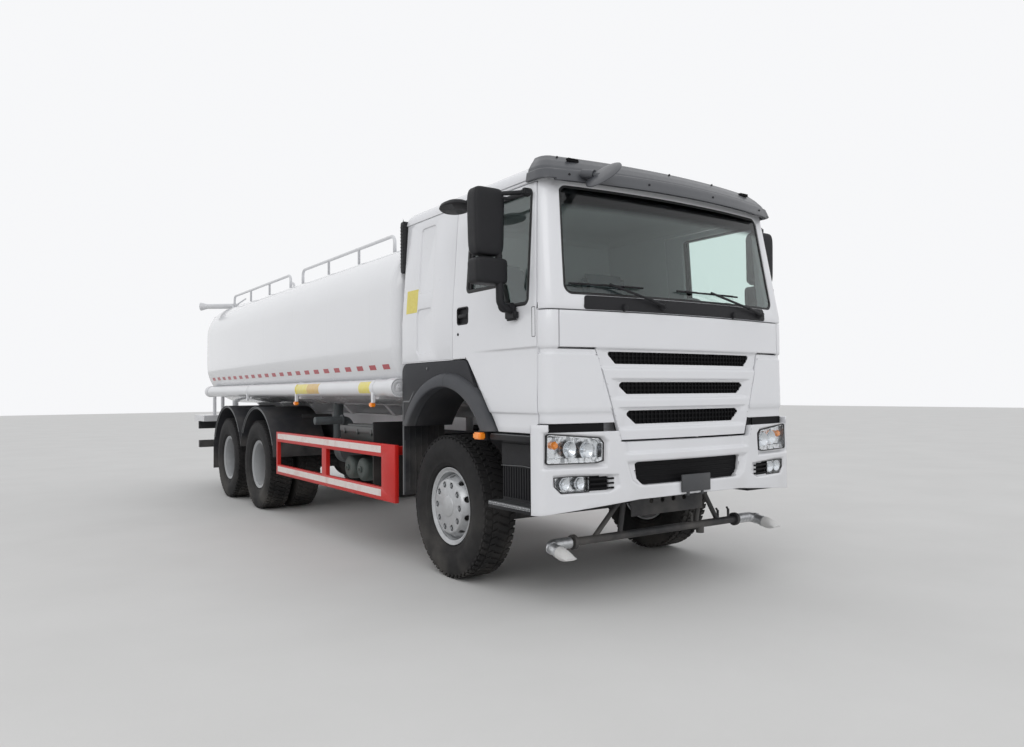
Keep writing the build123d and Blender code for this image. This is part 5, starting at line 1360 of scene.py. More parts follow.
# The tank: rolled steel sheet on a rounded oblong section, welded ring by ring and closed by dished
# ends. It is sprayed in gloss white over the welds, and red reflective squares run along each side.
tank_low, tank_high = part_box("tank")
tank_half, tank_crown = 1.195, 2.785
collar_radius, collar_head, lid_z = 0.270, 2.847, 2.8613
manhole_y, lid_hinge_y = aft(4.360), aft(4.040)
ring_pitch = 1.042


def arc_through(first, middle, last):
    """Centre and radius of the circle through three places."""
    (ax, az), (bx, bz), (cx, cz) = first, middle, last
    span = 2 * (ax * (bz - cz) + bx * (cz - az) + cx * (az - bz))
    a2, b2, c2 = ax * ax + az * az, bx * bx + bz * bz, cx * cx + cz * cz
    x = (a2 * (bz - cz) + b2 * (cz - az) + c2 * (az - bz)) / span
    z = (a2 * (cx - bx) + b2 * (ax - cx) + c2 * (bx - ax)) / span
    return Vector((x, z)), math.hypot(ax - x, az - z)


def corner_between(first, second, radius):
    """The rounding between two arcs: centre, radius, and where it meets each of them."""
    (c1, r1), (c2, r2) = (first[0], first[1] - radius), (second[0], second[1] - radius)
    apart = (c2 - c1).length
    along = (r1 * r1 - r2 * r2 + apart * apart) / (2 * apart)
    off = math.sqrt(max(r1 * r1 - along * along, 0.0))
    unit = (c2 - c1) / apart
    centre = max((c1 + unit * along + Vector((-unit.y, unit.x)) * off * way for way in (-1, 1)),
                 key=lambda place: place.x)
    return (centre, radius, centre + (centre - c1).normalized() * radius,
            centre + (centre - c2).normalized() * radius)


def tank_line(shrink):
    """The tank's section, from the middle of its top round its left side and back."""
    top, bottom, half = tank_crown - shrink, tank_low.z + shrink, tank_half - shrink
    edge, high, low = half - 0.022, top - 0.060, bottom + 0.014
    crown = arc_through((-edge, high), (0.0, top), (edge, high))
    flank = arc_through((edge, high), (half, (top + bottom) / 2), (edge, low))
    belly = arc_through((edge, low), (0.0, bottom), (-edge, low))
    upper = corner_between(crown, flank, 0.480 - shrink)
    lower = corner_between(flank, belly, 0.560 - shrink)
    points = []
    for (centre, radius), start, end, steps in (
            (crown, (0.0, top), upper[2], 12), (upper[:2], upper[2], upper[3], 20),
            (flank, upper[3], lower[2], 12), (lower[:2], lower[2], lower[3], 20),
            (belly, lower[3], (0.0, bottom), 12)):
        start, end = Vector(start) - centre, Vector(end) - centre
        first, last = math.atan2(start.y, start.x), math.atan2(end.y, end.x)
        for step in range(steps):
            angle = first + (last - first) * step / steps
            points.append((centre.x + radius * math.cos(angle),
                           centre.y + radius * math.sin(angle)))
    return points + [(0.0, bottom)] + [(-x, z) for x, z in points[:0:-1]]


tank_gloss = Finish("tank_gloss", (0.75, 0.755, 0.77), Coat_Weight=0.9, Coat_Roughness=0.04)
tank_cloud = tank_gloss.mix((0.725, 0.73, 0.745), (0.765, 0.77, 0.785), tank_gloss.noise(1.3, 4.0))
with_dust(tank_gloss, tank_cloud, 0.24, low=0.9, high=1.9, most=0.18)
ring_share = (tank_gloss.axis(1) - aft(1.30)) / ring_pitch
ring_near = (tank_gloss.add("Math", {"operation": "FRACT"}, {0: ring_share + 0.5}) - 0.5).size()
ring_weld = 1 - (ring_near * ring_pitch).over(0.003, 0.011)
tank_gloss.bump(ring_weld * 0.5 + tank_gloss.noise(1.1, 2.0) * 1.6 + tank_gloss.noise(150.0) * 0.03,
                0.004, 0.35)

dish_rows = [(0.450, -0.007), (0.350, -0.006), (0.220, -0.003), (0.135, -0.0005)]
dish_rows += [(0.110 * (1 - math.sin(QUARTER * i / 12)), 0.090 * (1 - math.cos(QUARTER * i / 12)))
              for i in range(13)]
rows = [[(x, tank_low.y + y, z) for x, z in tank_line(shrink)] for shrink, y in dish_rows]
rows += [[(x, tank_high.y - y, z) for x, z in tank_line(shrink)] for shrink, y in dish_rows[::-1]]
collar = lathe("collar", [(-0.140, 0.0), (-0.140, collar_radius), (-0.062, collar_radius),
                          (-0.008, collar_radius), (-0.002, collar_radius - 0.005), (0.0, 0.0)], 72)
put(collar, (0, manhole_y, collar_head), -QUARTER, "Y")
tank_parts = [closed_rows("tank_body", rows), collar]
ear_near, ear_far = lid_hinge_y - 0.020, lid_hinge_y + 0.020
ear_line = soft_outline([(ear_near, tank_crown - 0.08), (ear_far, tank_crown - 0.08),
                         (ear_far, lid_z + 0.016), (ear_near, lid_z + 0.016)], 0.010, 4)
for x in (-0.076, 0.076):
    bore = put(peg("bore", 0.0085, -0.02, 0.02, 24), (x, lid_hinge_y, lid_z))
    tank_parts.append(cut_by(prism("ear", ear_line, 0, x - 0.010, x + 0.010), [bore]))
fitted("tank_shell", tank_parts, 38, tank_gloss, "tank_paint", "tank")

# Red squares of reflective sheet, stuck along both sides above the hose tubes.
tape_red = Finish("reflective_red", (0.42, 0.030, 0.045), Coat_Weight=0.5)
cells = tape_red.noise(420.0, 0.0).over(0.4, 0.6)
tape_red.colour((0.36, 0.022, 0.035), (0.50, 0.045, 0.06), cells)
tape_red.gloss(200.0, 3.0, 0.2, 0.25)
square_z, square_pitch = 1.640, 0.283
flank_points = [point for point in tank_line(0.0) if point[0] > 0.9 and 1.5 < point[1] < 1.8]
above = min((p for p in flank_points if p[1] >= square_z), key=lambda p: p[1])
below = max((p for p in flank_points if p[1] < square_z), key=lambda p: p[1])
square_x = below[0] + (above[0] - below[0]) * (square_z - below[1]) / (above[1] - below[1])
square = slab("red_square", (-0.0030, -0.0675, -0.023), (0.0012, 0.0675, 0.023))
put(square, (0, 0, 0), math.atan2(above[0] - below[0], above[1] - below[1]), "Y")
squares = row_of("red_squares", square, tape_red, 22, (0, square_pitch, 0),
                 (square_x, aft(1.05), square_z))
squares = joined("red_squares", [squares, mirrored(squares, "right_squares")])
settle(squares, "truck", tape_red, "guard_red")

# The manhole lid: a dished plate with a clamped rim, a lifting bow and a hinge strap on a pin.
hinge_off = lid_hinge_y - manhole_y
lid = lathe("lid", [(-0.014, 0.0), (-0.014, 0.292), (0.006, 0.292), (0.014, 0.284), (0.014, 0.240),
                    (0.008, 0.232), (0.008, 0.150), (0.014, 0.100), (0.014, 0.0)], 72)
clamp = joined("clamp", [peg_along_z("stud", 0.008, -0.010, 0.030, 16),
                         peg_along_z("wing", 0.020, 0.012, 0.024, 6)])
lid_parts = [put(lid, (0, 0, 0), -QUARTER, "Y"),
             repeated("clamps", RING, clamp, tank_gloss, Count=8, Radius=0.262),
             slab("strap", (-0.058, hinge_off - 0.012, -0.012),
                  (0.058, -collar_radius + 0.06, 0.013), 0.003),
             put(peg("pin", 0.008, -0.084, 0.084, 24), (0, hinge_off, 0))]
bow_line = [(-0.07, 0.10, 0.01), (-0.07, 0.10, 0.055), (0.07, 0.10, 0.055), (0.07, 0.10, 0.01)]
lid_parts += [rod_between("bow", start, end, 0.008, 12)
              for start, end in (bow_line[:2], bow_line[:1:-1], bow_line[1:3])]
whole_lid = put(joined("manhole_cover", lid_parts), (0, manhole_y, lid_z))
settle(rounded(whole_lid, 0.0, 36), "manhole_lid", tank_gloss, "tank_paint", "manhole_lid")

# Sills and saddles under the tank, handrails of bent tube on its back, and the round feet that the
# rails are welded to.
white_frame = painted("white_frame", (0.72, 0.725, 0.74), 0.32, 0.35, Coat_Weight=0.5)
refined("tank_bearers", white_frame, 0.004)
refined("handrails", white_frame, 0.0, 50)
feet = [put(peg_along_z("foot", 0.038, -0.010, 0.006, 24),
            (x, aft(start + (end - start) * share), 2.6985), math.copysign(0.46, x), "Y")
        for x in (-0.8, 0.8) for start, end in ((1.600, 4.150), (4.600, 7.200))
        for share in (0.0, 1 / 3, 2 / 3, 1.0)]
fitted("handrail_feet", feet, 40, white_frame, "tank_paint")

# The side tubes: plastic pipe that stores the suction hoses, closed by a screwed cap at each end.
# They lie on hangers, with plain yellow and orange patches and side marker lamps.
tube_x, tube_z, tube_radius = 1.155, 1.455, 0.075
tube_fore, tube_aft = aft(0.860), aft(7.150)
tube_length = tube_aft - tube_fore
tube_white = Finish("tube_white", (0.74, 0.745, 0.76), Coat_Weight=0.6, Coat_Roughness=0.08)
along = tube_white.axis(1)
facing = tube_white.axis(0).size() > tube_x + 0.005
low_edge, high_edge = tube_white.axis(2) > tube_z - 0.046, tube_white.axis(2) < tube_z + 0.058
patch = facing * low_edge * high_edge
small, large, middle = ((along > aft(fore)) * (along < aft(back)) for fore, back in (
    (1.25, 1.49), (2.84, 3.20), (2.50, 2.84)))
yellow, orange = (small + large) * patch, middle * patch
shade = tube_white.mix((0.70, 0.705, 0.72), (0.76, 0.765, 0.78), tube_white.noise(3.0, 5.0))
worn = tube_white.noise(26.0, 4.0).over(0.35, 0.75) * 0.35
shade = tube_white.mix(shade, tube_white.mix((0.78, 0.66, 0.06), (0.74, 0.70, 0.45), worn), yellow)
tube_white.colour(shade, tube_white.mix((0.66, 0.40, 0.05), (0.70, 0.55, 0.30), worn), orange)
tube_white.gloss(20.0, 4.0, 0.15, 0.26)
tube_white.grain(90.0, 3.0, 0.0005, 0.3)
tube_profile = [
    # along the tube from its front end, radius
    (-0.070, 0.0), (-0.070, 0.026), (-0.062, 0.032), (-0.062, 0.046), (-0.070, 0.050),
    (-0.070, 0.060), (-0.064, 0.064), (-0.064, 0.072), (-0.072, 0.076), (-0.072, 0.080),
    (-0.068, 0.084), (0.066, 0.084), (0.070, 0.081), (0.071, tube_radius),
]
tube_profile += [(tube_length - (x if x < 0.07 else 0.071), r * 0.976 if r > 0.076 else r)
                 for x, r in tube_profile[::-1]]
band_profile = [(-0.022, tube_radius - 0.004), (-0.022, tube_radius + 0.004),
                (0.022, tube_radius + 0.004), (0.022, tube_radius - 0.004)]


def span(side, low, high):
    """A range across the truck on one side of it, lowest first."""
    return sorted((side * low, side * high))


def sided(name, side, ranges, *rounding):
    """A slab on one side, from its ranges across, behind the front axle, and up."""
    (low, high), (fore, back), (foot, head) = ranges
    near, far = span(side, low, high)
    return slab(name, (near, aft(fore), foot), (far, aft(back), head), *rounding)


tube_parts, markers = [], []
for side in (-1, 1):
    x = side * tube_x
    tube_parts.append(put(lathe("tube", tube_profile, 48), (x, tube_fore, tube_z), QUARTER))
    tube_parts.append(slab("cap_bar", (x - 0.018, tube_fore - 0.079, tube_z - 0.006),
                           (x + 0.018, tube_fore - 0.066, tube_z + 0.006), 0.002))
    for y in (1.200, 3.200, 5.050):
        tube_parts.append(put(lathe("band", band_profile, 48), (x, aft(y), tube_z), QUARTER))
        for name, low, high, reach, foot, head, round_by in (
                ("hanger", 0.930, tube_x + 0.020, 0.030, -tube_radius - 0.024, -tube_radius + 0.006,
                 0.003),
                ("hook", tube_x + 0.045, tube_x + 0.070, 0.020, -0.130, -0.035, 0.002),
                ("gusset", 0.780, 0.960, 0.010, -0.105, -0.060, 0.002)):
            tube_parts.append(sided(name, side, ((low, high), (y - reach, y + reach),
                                                 (tube_z + foot, tube_z + head)), round_by))
    for y in (1.235, 3.235):
        markers.append(sided("side_marker", side, ((tube_x + 0.028, tube_x + 0.074),
                                                   (y - 0.026, y + 0.026),
                                                   (tube_z - 0.168, tube_z - 0.128)), 0.008, 3))
fitted("hose_tube_set", tube_parts, 36, tube_white, "tank_paint", "hose_tubes")
fitted("side_markers", markers, 40, amber, "lamp_glass")

# The rear platform with its stand, rails and ladder, and the water cannon on a riser pipe.
refined("rear_platform", white_frame, 0.0, 34, plates=True)
refined("cannon_swivel", white_frame, 0.002, 34)
refined("cannon_barrel", white_frame, 0.001, 34)

# The door mirrors: grained black housings on a bent steel arm that is bolted to the door. A wide
# main glass hangs over a small wide-angle one, and the kerb side has a third glass over the window.


def circle(count, start=0.0):
    """Even points round a circle of radius 1, as pairs."""
    turns = (2 * math.pi * (i + start) / count for i in range(count))
    return [(math.cos(turn), math.sin(turn)) for turn in turns]


def tube_along(name, points, radius, bend=0.0, sides=16, steps=6):
    """A round tube through points, with its corners bent to a radius."""
    points = [Vector(point) for point in points]
    path = [points[0]]
    for before, here, after in zip(points, points[1:], points[2:]):
        back, ahead = (before - here).normalized(), (after - here).normalized()
        half_angle = back.angle(ahead) / 2
        if not bend or half_angle > math.radians(88):
            path.append(here)
            continue
        reach = bend / math.tan(half_angle)
        centre = here + (back + ahead).normalized() * bend / math.sin(half_angle)
        first, last = here + back * reach - centre, here + ahead * reach - centre
        path += [centre + first.slerp(last, step / steps) * bend for step in range(steps + 1)]
    path.append(points[-1])
    rows = []
    side_way = (path[1] - path[0]).orthogonal().normalized()
    for i, here in enumerate(path):
        ahead = (path[min(i + 1, len(path) - 1)] - here).normalized()
        back = (here - path[max(i - 1, 0)]).normalized()
        along = (ahead + back).normalized()
        side_way = (side_way - along * side_way.dot(along)).normalized()
        other = along.cross(side_way)
        stretch = 1 / max(along.dot(ahead if i == 0 else back), 0.5)
        rows.append([here + (side_way * a + other * b) * radius * stretch
                     for a, b in circle(sides)])
    return closed_rows(name, rows)


def pod(name, low, high, narrow, boxy=0.30):
    """A moulded housing: a box whose sides and ends swell into one another, narrower below."""
    middle = [(a + b) / 2 for a, b in zip(low, high)]
    half = [(b - a) / 2 for a, b in zip(low, high)]
    rows = []

    def swell(value):
        return math.copysign(abs(value) ** boxy, value)

    for i in range(33):
        rise = math.radians(-88 + 176 * i / 32)
        height, wide = swell(math.sin(rise)), abs(math.cos(rise)) ** boxy
        wide_here = wide * (1 - narrow * (1 - height) / 2)
        rows.append([(middle[0] + half[0] * wide_here * swell(a),
                      middle[1] + half[1] * wide * swell(b),
                      middle[2] + half[2] * height) for a, b in circle(64, 0.5)])
    return closed_rows(name, rows)


mirror_glass = Finish("mirror_glass", (0.78, 0.80, 0.82), Metallic=1.0)
mirror_glass.gloss(12.0, 4.0, 0.05, 0.01)
housings = [
    # low corner, high corner, how much narrower the foot is
    ((1.262, aft(-1.000), 2.300), (1.498, aft(-0.872), 2.745), 0.08),
    ((1.246, aft(-1.010), 2.112), (1.492, aft(-0.865), 2.286), 0.02),
]
arm_line = [(1.186, aft(-1.097), 2.712), (1.240, aft(-1.030), 2.712), (1.300, aft(-0.978), 2.712),
            (1.300, aft(-0.978), 1.945), (1.215, aft(-0.978), 1.945)]
stay_line = [(1.190, aft(-1.104), 2.690), (1.250, aft(-1.020), 2.676), (1.310, aft(-0.970), 2.690)]
boot_line = [(1.302, aft(-0.978), 2.130), (1.300, aft(-0.978), 1.985), (1.235, aft(-0.978), 1.955)]
kerb_profile = [(-0.020, 0.0), (-0.020, 0.088), (-0.012, 0.096), (0.006, 0.092), (0.026, 0.066),
                (0.038, 0.034), (0.042, 0.0)]
for name, side in (("left", 1), ("right", -1)):
    parts = [tube_along("arm", arm_line, 0.015, 0.028),
             tube_along("stay", stay_line, 0.010, 0.03, 12),
             slab("head", (1.140, aft(-1.128), 2.686), (1.205, aft(-1.078), 2.738), 0.012, 3),
             slab("foot", (1.1805, aft(-1.030), 1.882), (1.222, aft(-0.905), 1.950), 0.014, 3),
             slab("knuckle", (1.186, aft(-1.010), 1.925), (1.245, aft(-0.945), 1.998), 0.014, 3),
             tube_along("boot", boot_line, 0.027, 0.05, 20)]
    panes = []
    for low, high, narrow in housings:
        parts.append(pod("housing", low, high, narrow))
        outline = [(low[0] + 0.024, low[2] + 0.020), (high[0] - 0.024, low[2] + 0.020),
                   (high[0] - 0.022, high[2] - 0.020), (low[0] + 0.022, high[2] - 0.020)]
        panes.append(prism("pane", soft_outline(outline, 0.028, 6), 1, high[1] - 0.002,
                           high[1] + 0.0015))
    parts += [put(peg_along_z("joint", 0.024, z - 0.012, z + 0.016, 20), (1.300, aft(-0.965), 0))
              for z in (2.292, 2.105)]
    if side < 0:
        dome = put(lathe("kerb_glass", kerb_profile, 48), (0, 0, 0), -QUARTER, "Y")
        placed(dome, Matrix.Diagonal((0.98, 1.72, 1.0, 1.0)))
        parts.append(put(dome, (1.335, aft(-0.470), 2.722), -0.20, "Y"))
        parts.append(tube_along("kerb_arm", [(1.310, aft(-0.930), 2.728),
                                             (1.335, aft(-0.500), 2.728)], 0.012))
    flip = Matrix.Scale(side, 4, (1, 0, 0))
    housing = rounded(joined("mirror_housings_" + name, parts), 0.0, 42)
    settle(placed(housing, flip), "door_" + name, black_plastic, "black_plastic", "mirrors_" + name)
    settle(placed(joined("mirror_glasses_" + name, panes), flip), "door_" + name, mirror_glass,
           "lamp_glass")

# The front mudguards: a dark grained side panel with a paler flared lip, a liner round the wheel
# and a rubber flap behind it. Pale piping edges the liner and the flap, and a marker lamp ends
# the lip.
arch_y, arch_z, arch_inner, flare_outer = aft(-0.060), 0.800, 0.652, 0.757
guard_plastic = Finish("mudguard_plastic", (0.040, 0.042, 0.047), Specular_IOR_Level=0.3)
off_y, off_z = guard_plastic.axis(1) - arch_y, guard_plastic.axis(2) - arch_z
from_hub = (off_y * off_y + off_z * off_z) ** 0.5
lip_area = (from_hub < flare_outer + 0.002) * (guard_plastic.axis(0).size() > 1.16)
seam_line = lip_area * (1 - (off_y + 0.045).size().over(0.0015, 0.003))
lip_shade = guard_plastic.mix((0.050, 0.053, 0.060), (0.070, 0.073, 0.081),
                              guard_plastic.noise(4.0, 5.0))
panel_shade = guard_plastic.mix((0.020, 0.021, 0.025), (0.030, 0.031, 0.036),
                                guard_plastic.noise(5.0, 5.0))
shade = guard_plastic.mix(guard_plastic.mix(panel_shade, lip_shade, lip_area),
                          (0.008, 0.008, 0.008), seam_line)
with_dust(guard_plastic, shade, 0.55, low=0.4, high=1.7, most=0.28)
guard_plastic.bump(guard_plastic.noise(420.0, 2.0) - seam_line * 2.0, 0.0008, 0.6)
piping_grey = painted("piping_grey", (0.16, 0.165, 0.17), 0.5, 0.3)
panel_line = soft_outline([(0.690, 1.648), (mudguard_corner, 1.648), (slant(skirt), skirt - 0.2),
                           (0.690, skirt - 0.2)], 0.075, 10)
room_line = [(0.690, 1.648), (mudguard_corner, 1.648), (slant(skirt), skirt), (0.690, skirt)]
flare_profile = [(1.150, arch_inner), (1.232, arch_inner), (1.240, arch_inner + 0.008),
                 (1.240, arch_inner + 0.060), (1.226, arch_inner + 0.085),
                 (1.196, flare_outer - 0.004), (1.184, flare_outer), (1.150, flare_outer)]
liner_profile = [(0.813, arch_inner), (1.165, arch_inner), (1.165, arch_inner + 0.014),
                 (0.813, arch_inner + 0.014)]


def round_the_arch(name, side, profile, steps=128):
    """A turned piece about the middle of the wheel arch."""
    return put(lathe(name, [(side * x, r) for x, r in profile], steps), (0, arch_y, arch_z))


def arch_hole(radius, steps):
    return put(peg("hole", radius, -1.6, 1.6, steps), (0, arch_y, arch_z))


mudguards, piping, arch_markers, marker_pads = [], [], [], []
for side in (-1, 1):
    panel = across_truck("guard_panel", panel_line, *span(side, 1.150, 1.180))
    for sheet in (cut_by(panel, [arch_hole(arch_inner - 0.0004, 128)]),
                  round_the_arch("flare", side, flare_profile),
                  round_the_arch("liner", side, liner_profile)):
        kept_in(sheet, across_truck("room", room_line, *span(side, 0.5, 1.5)))
        mudguards.append(rounded(sheet, 0.003, 40))
    mudguards.append(sided("rubber_flap", side, ((0.790, 1.175), (0.668, 0.678), (0.560, 1.330)),
                           0.002))
    shelf = sided("liner_shelf", side, ((0.820, 1.175), (0.470, 0.678), (1.318, 1.340)), 0.003)
    mudguards.append(cut_by(shelf, [arch_hole(arch_inner, 96)]))
    rib = sided("rib", side, ((0.84, 0.852), (0.660, 0.670), (0.600, 1.280)), 0.002)
    mudguards.append(row_of("flap_ribs", rib, guard_plastic, 6, (side * 0.055, 0, 0)))
    edge_x = side * 1.177
    piping.append(tube_along("piping", [(edge_x, aft(0.674), 0.565), (edge_x, aft(0.674), 1.338),
                                        (edge_x, aft(0.560), 1.338),
                                        (side * 1.172, aft(0.470), 1.440)], 0.0075, 0.02, 10))
    piping.append(put(peg("bolt", 0.010, -0.004, 0.006, 6), (side * 1.182, aft(0.25), 1.600)))
    arch_markers.append(sided("arch_marker", side, ((1.205, 1.262), (-0.650, -0.560),
                                                    (1.084, 1.132)), 0.010, 3))
    marker_pads.append(sided("marker_pad", side, ((1.150, 1.210), (-0.662, -0.548),
                                                  (1.076, 1.150)), 0.006, 3))
fitted("mudguard_set", mudguards, 36, guard_plastic, "black_plastic", "front_mudguards")
fitted("edge_piping", piping, 40, piping_grey, "black_plastic")
fitted("arch_markers", arch_markers, 40, amber, "lamp_glass")
fitted("arch_marker_pads", marker_pads, 40, black_plastic, "black_plastic")

# The cab steps: two treads of bright checker plate on a black moulded riser.
refined("cab_steps", black_plastic, 0.005)
checker = Finish("checker_plate", (0.42, 0.43, 0.44), Metallic=0.85)
dots = checker.add("TexVoronoi", {"feature": "F1"}, {"Vector": checker.place, "Scale": 62.0,
                                                     "Randomness": 0.25})
raised = 1 - dots.over(0.22, 0.38)
checker.colour((0.12, 0.125, 0.13), (0.62, 0.63, 0.64),
               raised * 0.75 + checker.noise(9.0, 4.0) * 0.25)
checker.gloss(40.0, 3.0, 0.25, 0.30)
checker.bump(raised, 0.003, 0.9)
treads, riser_parts, wires = [], [], []
step_length = (-1.192, -0.700)
for side in (-1, 1):
    for width, height, round_by in (((1.102, 1.218), (0.6665, 0.6725), 0.0015),
                                    ((1.214, 1.2245), (0.648, 0.6725), 0.002),
                                    ((1.080, 1.200), (1.1205, 1.1265), 0.0015)):
        treads.append(sided("tread", side, (width, step_length, height), round_by))
    rib = sided("riser_rib", side, ((1.098, 1.106), (-1.190, -1.178), (0.690, 0.900)), 0.002)
    riser_parts.append(row_of("riser_ribs", rib, black_plastic, 17, (0, 0.0295, 0)))
    riser_parts.append(sided("riser_band", side, ((1.096, 1.112), step_length, (0.915, 1.060)),
                             0.004))
    wires.append(tube_along("wire", [(side * 1.114, aft(-1.19), 0.905),
                                     (side * 1.114, aft(-0.95), 0.915),
                                     (side * 1.114, aft(-0.70), 0.905)], 0.0025, 0.0, 8))
fitted("step_treads", treads, 40, checker, "bright_metal")
fitted("step_risers", riser_parts, 40, black_plastic, "black_plastic")
settle(joined("step_piping", wires), "truck", piping_grey, "black_plastic")

# Inside the cab: a moulded dashboard and steering wheel, two sprung seats and the bunk behind them,
# covered in woven grey cloth.
trim_grey = Finish("trim_grey", (0.10, 0.105, 0.11))
trim_grey.colour((0.085, 0.09, 0.095), (0.12, 0.125, 0.13), trim_grey.noise(5.0, 4.0))
trim_grey.gloss(90.0, 3.0, 0.15, 0.55)
trim_grey.grain(480.0, 2.0, 0.0006, 0.5)
refined("dashboard", trim_grey, 0.008)
cloth = Finish("seat_cloth", (0.20, 0.215, 0.24), Sheen_Weight=0.4)
weave = [cloth.add("TexWave", {"bands_direction": way}, {"Vector": cloth.place, "Scale": 160.0})
         for way in ("X", "Y", "Z")]
threads = (weave[0] + weave[1] + weave[2]) / 3
cloth.colour((0.13, 0.14, 0.165), (0.27, 0.285, 0.31), threads * 0.6 + cloth.noise(7.0, 4.0) * 0.4)
cloth.feed("Roughness", threads * 0.1 + 0.82)
cloth.bump(threads + cloth.noise(12.0, 3.0) * 1.5, 0.002, 0.5)


def cushion(name, low, high, corner, crown):
    """A padded block: soft corners, faces that swell between their seams."""
    piece = slab(name, low, high, corner, 6)
    tool = piece.modifiers.new("cuts", "SUBSURF")
    tool.subdivision_type = "SIMPLE"
    tool.levels = tool.render_levels = 2
    finished(piece)
    middle = [(a + b) / 2 for a, b in zip(low, high)]
    half = [(b - a) / 2 for a, b in zip(low, high)]
    for vertex in piece.data.vertices:
        u = [(vertex.co[i] - middle[i]) / half[i] for i in range(3)]
        for i in range(3):
            others = (1 - u[i - 2] ** 2) * (1 - u[i - 1] ** 2)
            vertex.co[i] += crown * u[i] * abs(u[i]) * others
    return piece


seat_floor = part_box("seats_and_bunk")[0].z
bunk_half, bunk_fore, bunk_aft = 1.103, aft(0.24), aft(0.6247)
seat_parts = []
for x in (-0.560, 0.560):
    back = cushion("seat_back", (x - 0.245, -0.055, 0.0), (x + 0.245, 0.055, 0.650), 0.042, 0.008)
    seat_parts += [
        slab("seat_base", (x - 0.20, aft(-0.42), seat_floor),
             (x + 0.20, aft(0.02), seat_floor + 0.262), 0.02),
        cushion("seat", (x - 0.25, aft(-0.48), seat_floor + 0.255),
                (x + 0.25, aft(0.04), seat_floor + 0.385), 0.040, 0.010),
        put(back, (0, aft(0.062), seat_floor + 0.375), -0.135, "X")]
seat_parts.append(slab("bunk_box", (-0.767, bunk_fore, seat_floor),
                       (0.767, bunk_aft, seat_floor + 0.25), 0.01))
seat_parts.append(cushion("bunk", (-bunk_half, bunk_fore, seat_floor + 0.245),
                          (bunk_half, bunk_aft, seat_floor + 0.418), 0.035, 0.004))
fitted("seats_and_mattress", seat_parts, 40, cloth, "seat_cloth", "seats_and_bunk")

# The air intake: a blow-moulded black stack behind the cab, with slots on its outer side.
refined("air_intake", black_plastic, 0.012)
intake_rib = slab("intake_rib", (-1.154, aft(0.712), 2.470), (-1.146, aft(0.770), 2.482), 0.002)
settle(row_of("intake_ribs", intake_rib, black_plastic, 13, (0, 0, 0.028)), "truck", black_plastic,
       "black_plastic")

# The side guards: red folded rails on broad posts, with white reflective strips along both rails.
guard_red = painted("guard_red", (0.60, 0.014, 0.010), 0.42, 0.12, Coat_Weight=0.15,
                    Specular_IOR_Level=0.3)
refined("side_guards", guard_red, 0.006)
strip_white = Finish("strip_white", (0.74, 0.66, 0.62), Coat_Weight=0.4)
cells = strip_white.noise(380.0, 0.0).over(0.4, 0.6)
worn = strip_white.noise(7.0, 5.0).over(0.45, 0.75) * 0.5
strip_white.colour(strip_white.mix((0.72, 0.62, 0.58), (0.80, 0.74, 0.70), cells),
                   (0.62, 0.34, 0.31), worn)
strip_white.gloss(60.0, 3.0, 0.2, 0.3)
strips = [sided("strip", side, ((1.2385, 1.2412), (0.985, 3.755), (z, z + 0.060)), 0.0006)
          for side in (-1, 1) for z in (0.524, 0.896)]
settle(joined("reflective_strips", strips), "truck", strip_white, "guard_red")

# Stores under the tank: the fuel tank with its straps, the battery box, the air bottles and the
# pump.
alloy = Finish("alloy", (0.50, 0.51, 0.52), Metallic=0.9)
alloy.colour((0.42, 0.43, 0.44), (0.56, 0.57, 0.58), alloy.noise(5.0, 5.0))
alloy.feed("Roughness", alloy.noise(3.0, 6.0, (1.0, 30.0, 1.0)) * 0.3 + 0.22)
alloy.grain(60.0, 4.0, 0.0006, 0.3)
store_grey = painted("store_grey", (0.20, 0.21, 0.21), 0.5, 0.45, Specular_IOR_Level=0.35)
pump_iron = painted("pump_iron", (0.085, 0.10, 0.105), 0.5, 0.5)
refined("fuel_tank", alloy, 0.003)
height = store_grey.axis(2)
shade = store_grey.mix((0.030, 0.038, 0.036), (0.115, 0.120, 0.120), height > 1.04)
shade = store_grey.mix(shade, (0.080, 0.105, 0.098), height < 0.862)
shade = store_grey.mix(shade, (0.012, 0.012, 0.013), store_grey.axis(1) < aft(1.312))
with_dust(store_grey, shade, 0.5, most=0.25)
refined("battery_and_air_tanks", store_grey, 0.004)
refined("water_pump", pump_iron, 0.004)
drain_profile = [(0.0, 0.0), (0.0, 0.030), (0.014, 0.030), (0.018, 0.012), (0.030, 0.012),
                 (0.032, 0.0)]
details = [put(lathe("drain", drain_profile, 24), (-1.099, aft(y), 0.690), HALF_TURN)
           for y in (1.730, 2.030)]
clasp = slab("clasp", (-1.134, aft(1.420), 1.020), (-1.122, aft(1.450), 1.075), 0.003)
details.append(row_of("clasps", clasp, store_grey, 3, (0, 0.310, 0)))
fitted("store_fittings", details, 35, store_grey, "store_grey")

# The rear mudguards: black rolled sheet over each pair of wheels, with a pale rolled edge and a
# rubber flap behind.
refined("rear_mudguards", guard_plastic, 0.003)
edge_parts = []
for side in (-1, 1):
    for y, first, last in ((4.600, 22, 148), (5.950, 32, 158)):
        for x, radius in ((1.243, 0.708), (1.236, 0.690)):
            turns = [math.radians(first + (last - first) * i / 28) for i in range(29)]
            arc = [(side * x, aft(y) - radius * math.cos(turn), 0.543 + radius * math.sin(turn))
                   for turn in turns]
            edge_parts.append(tube_along("guard_edge", arc, 0.0055, 0.0, 8))
fitted("guard_edges", edge_parts, 50, piping_grey, "black_plastic")

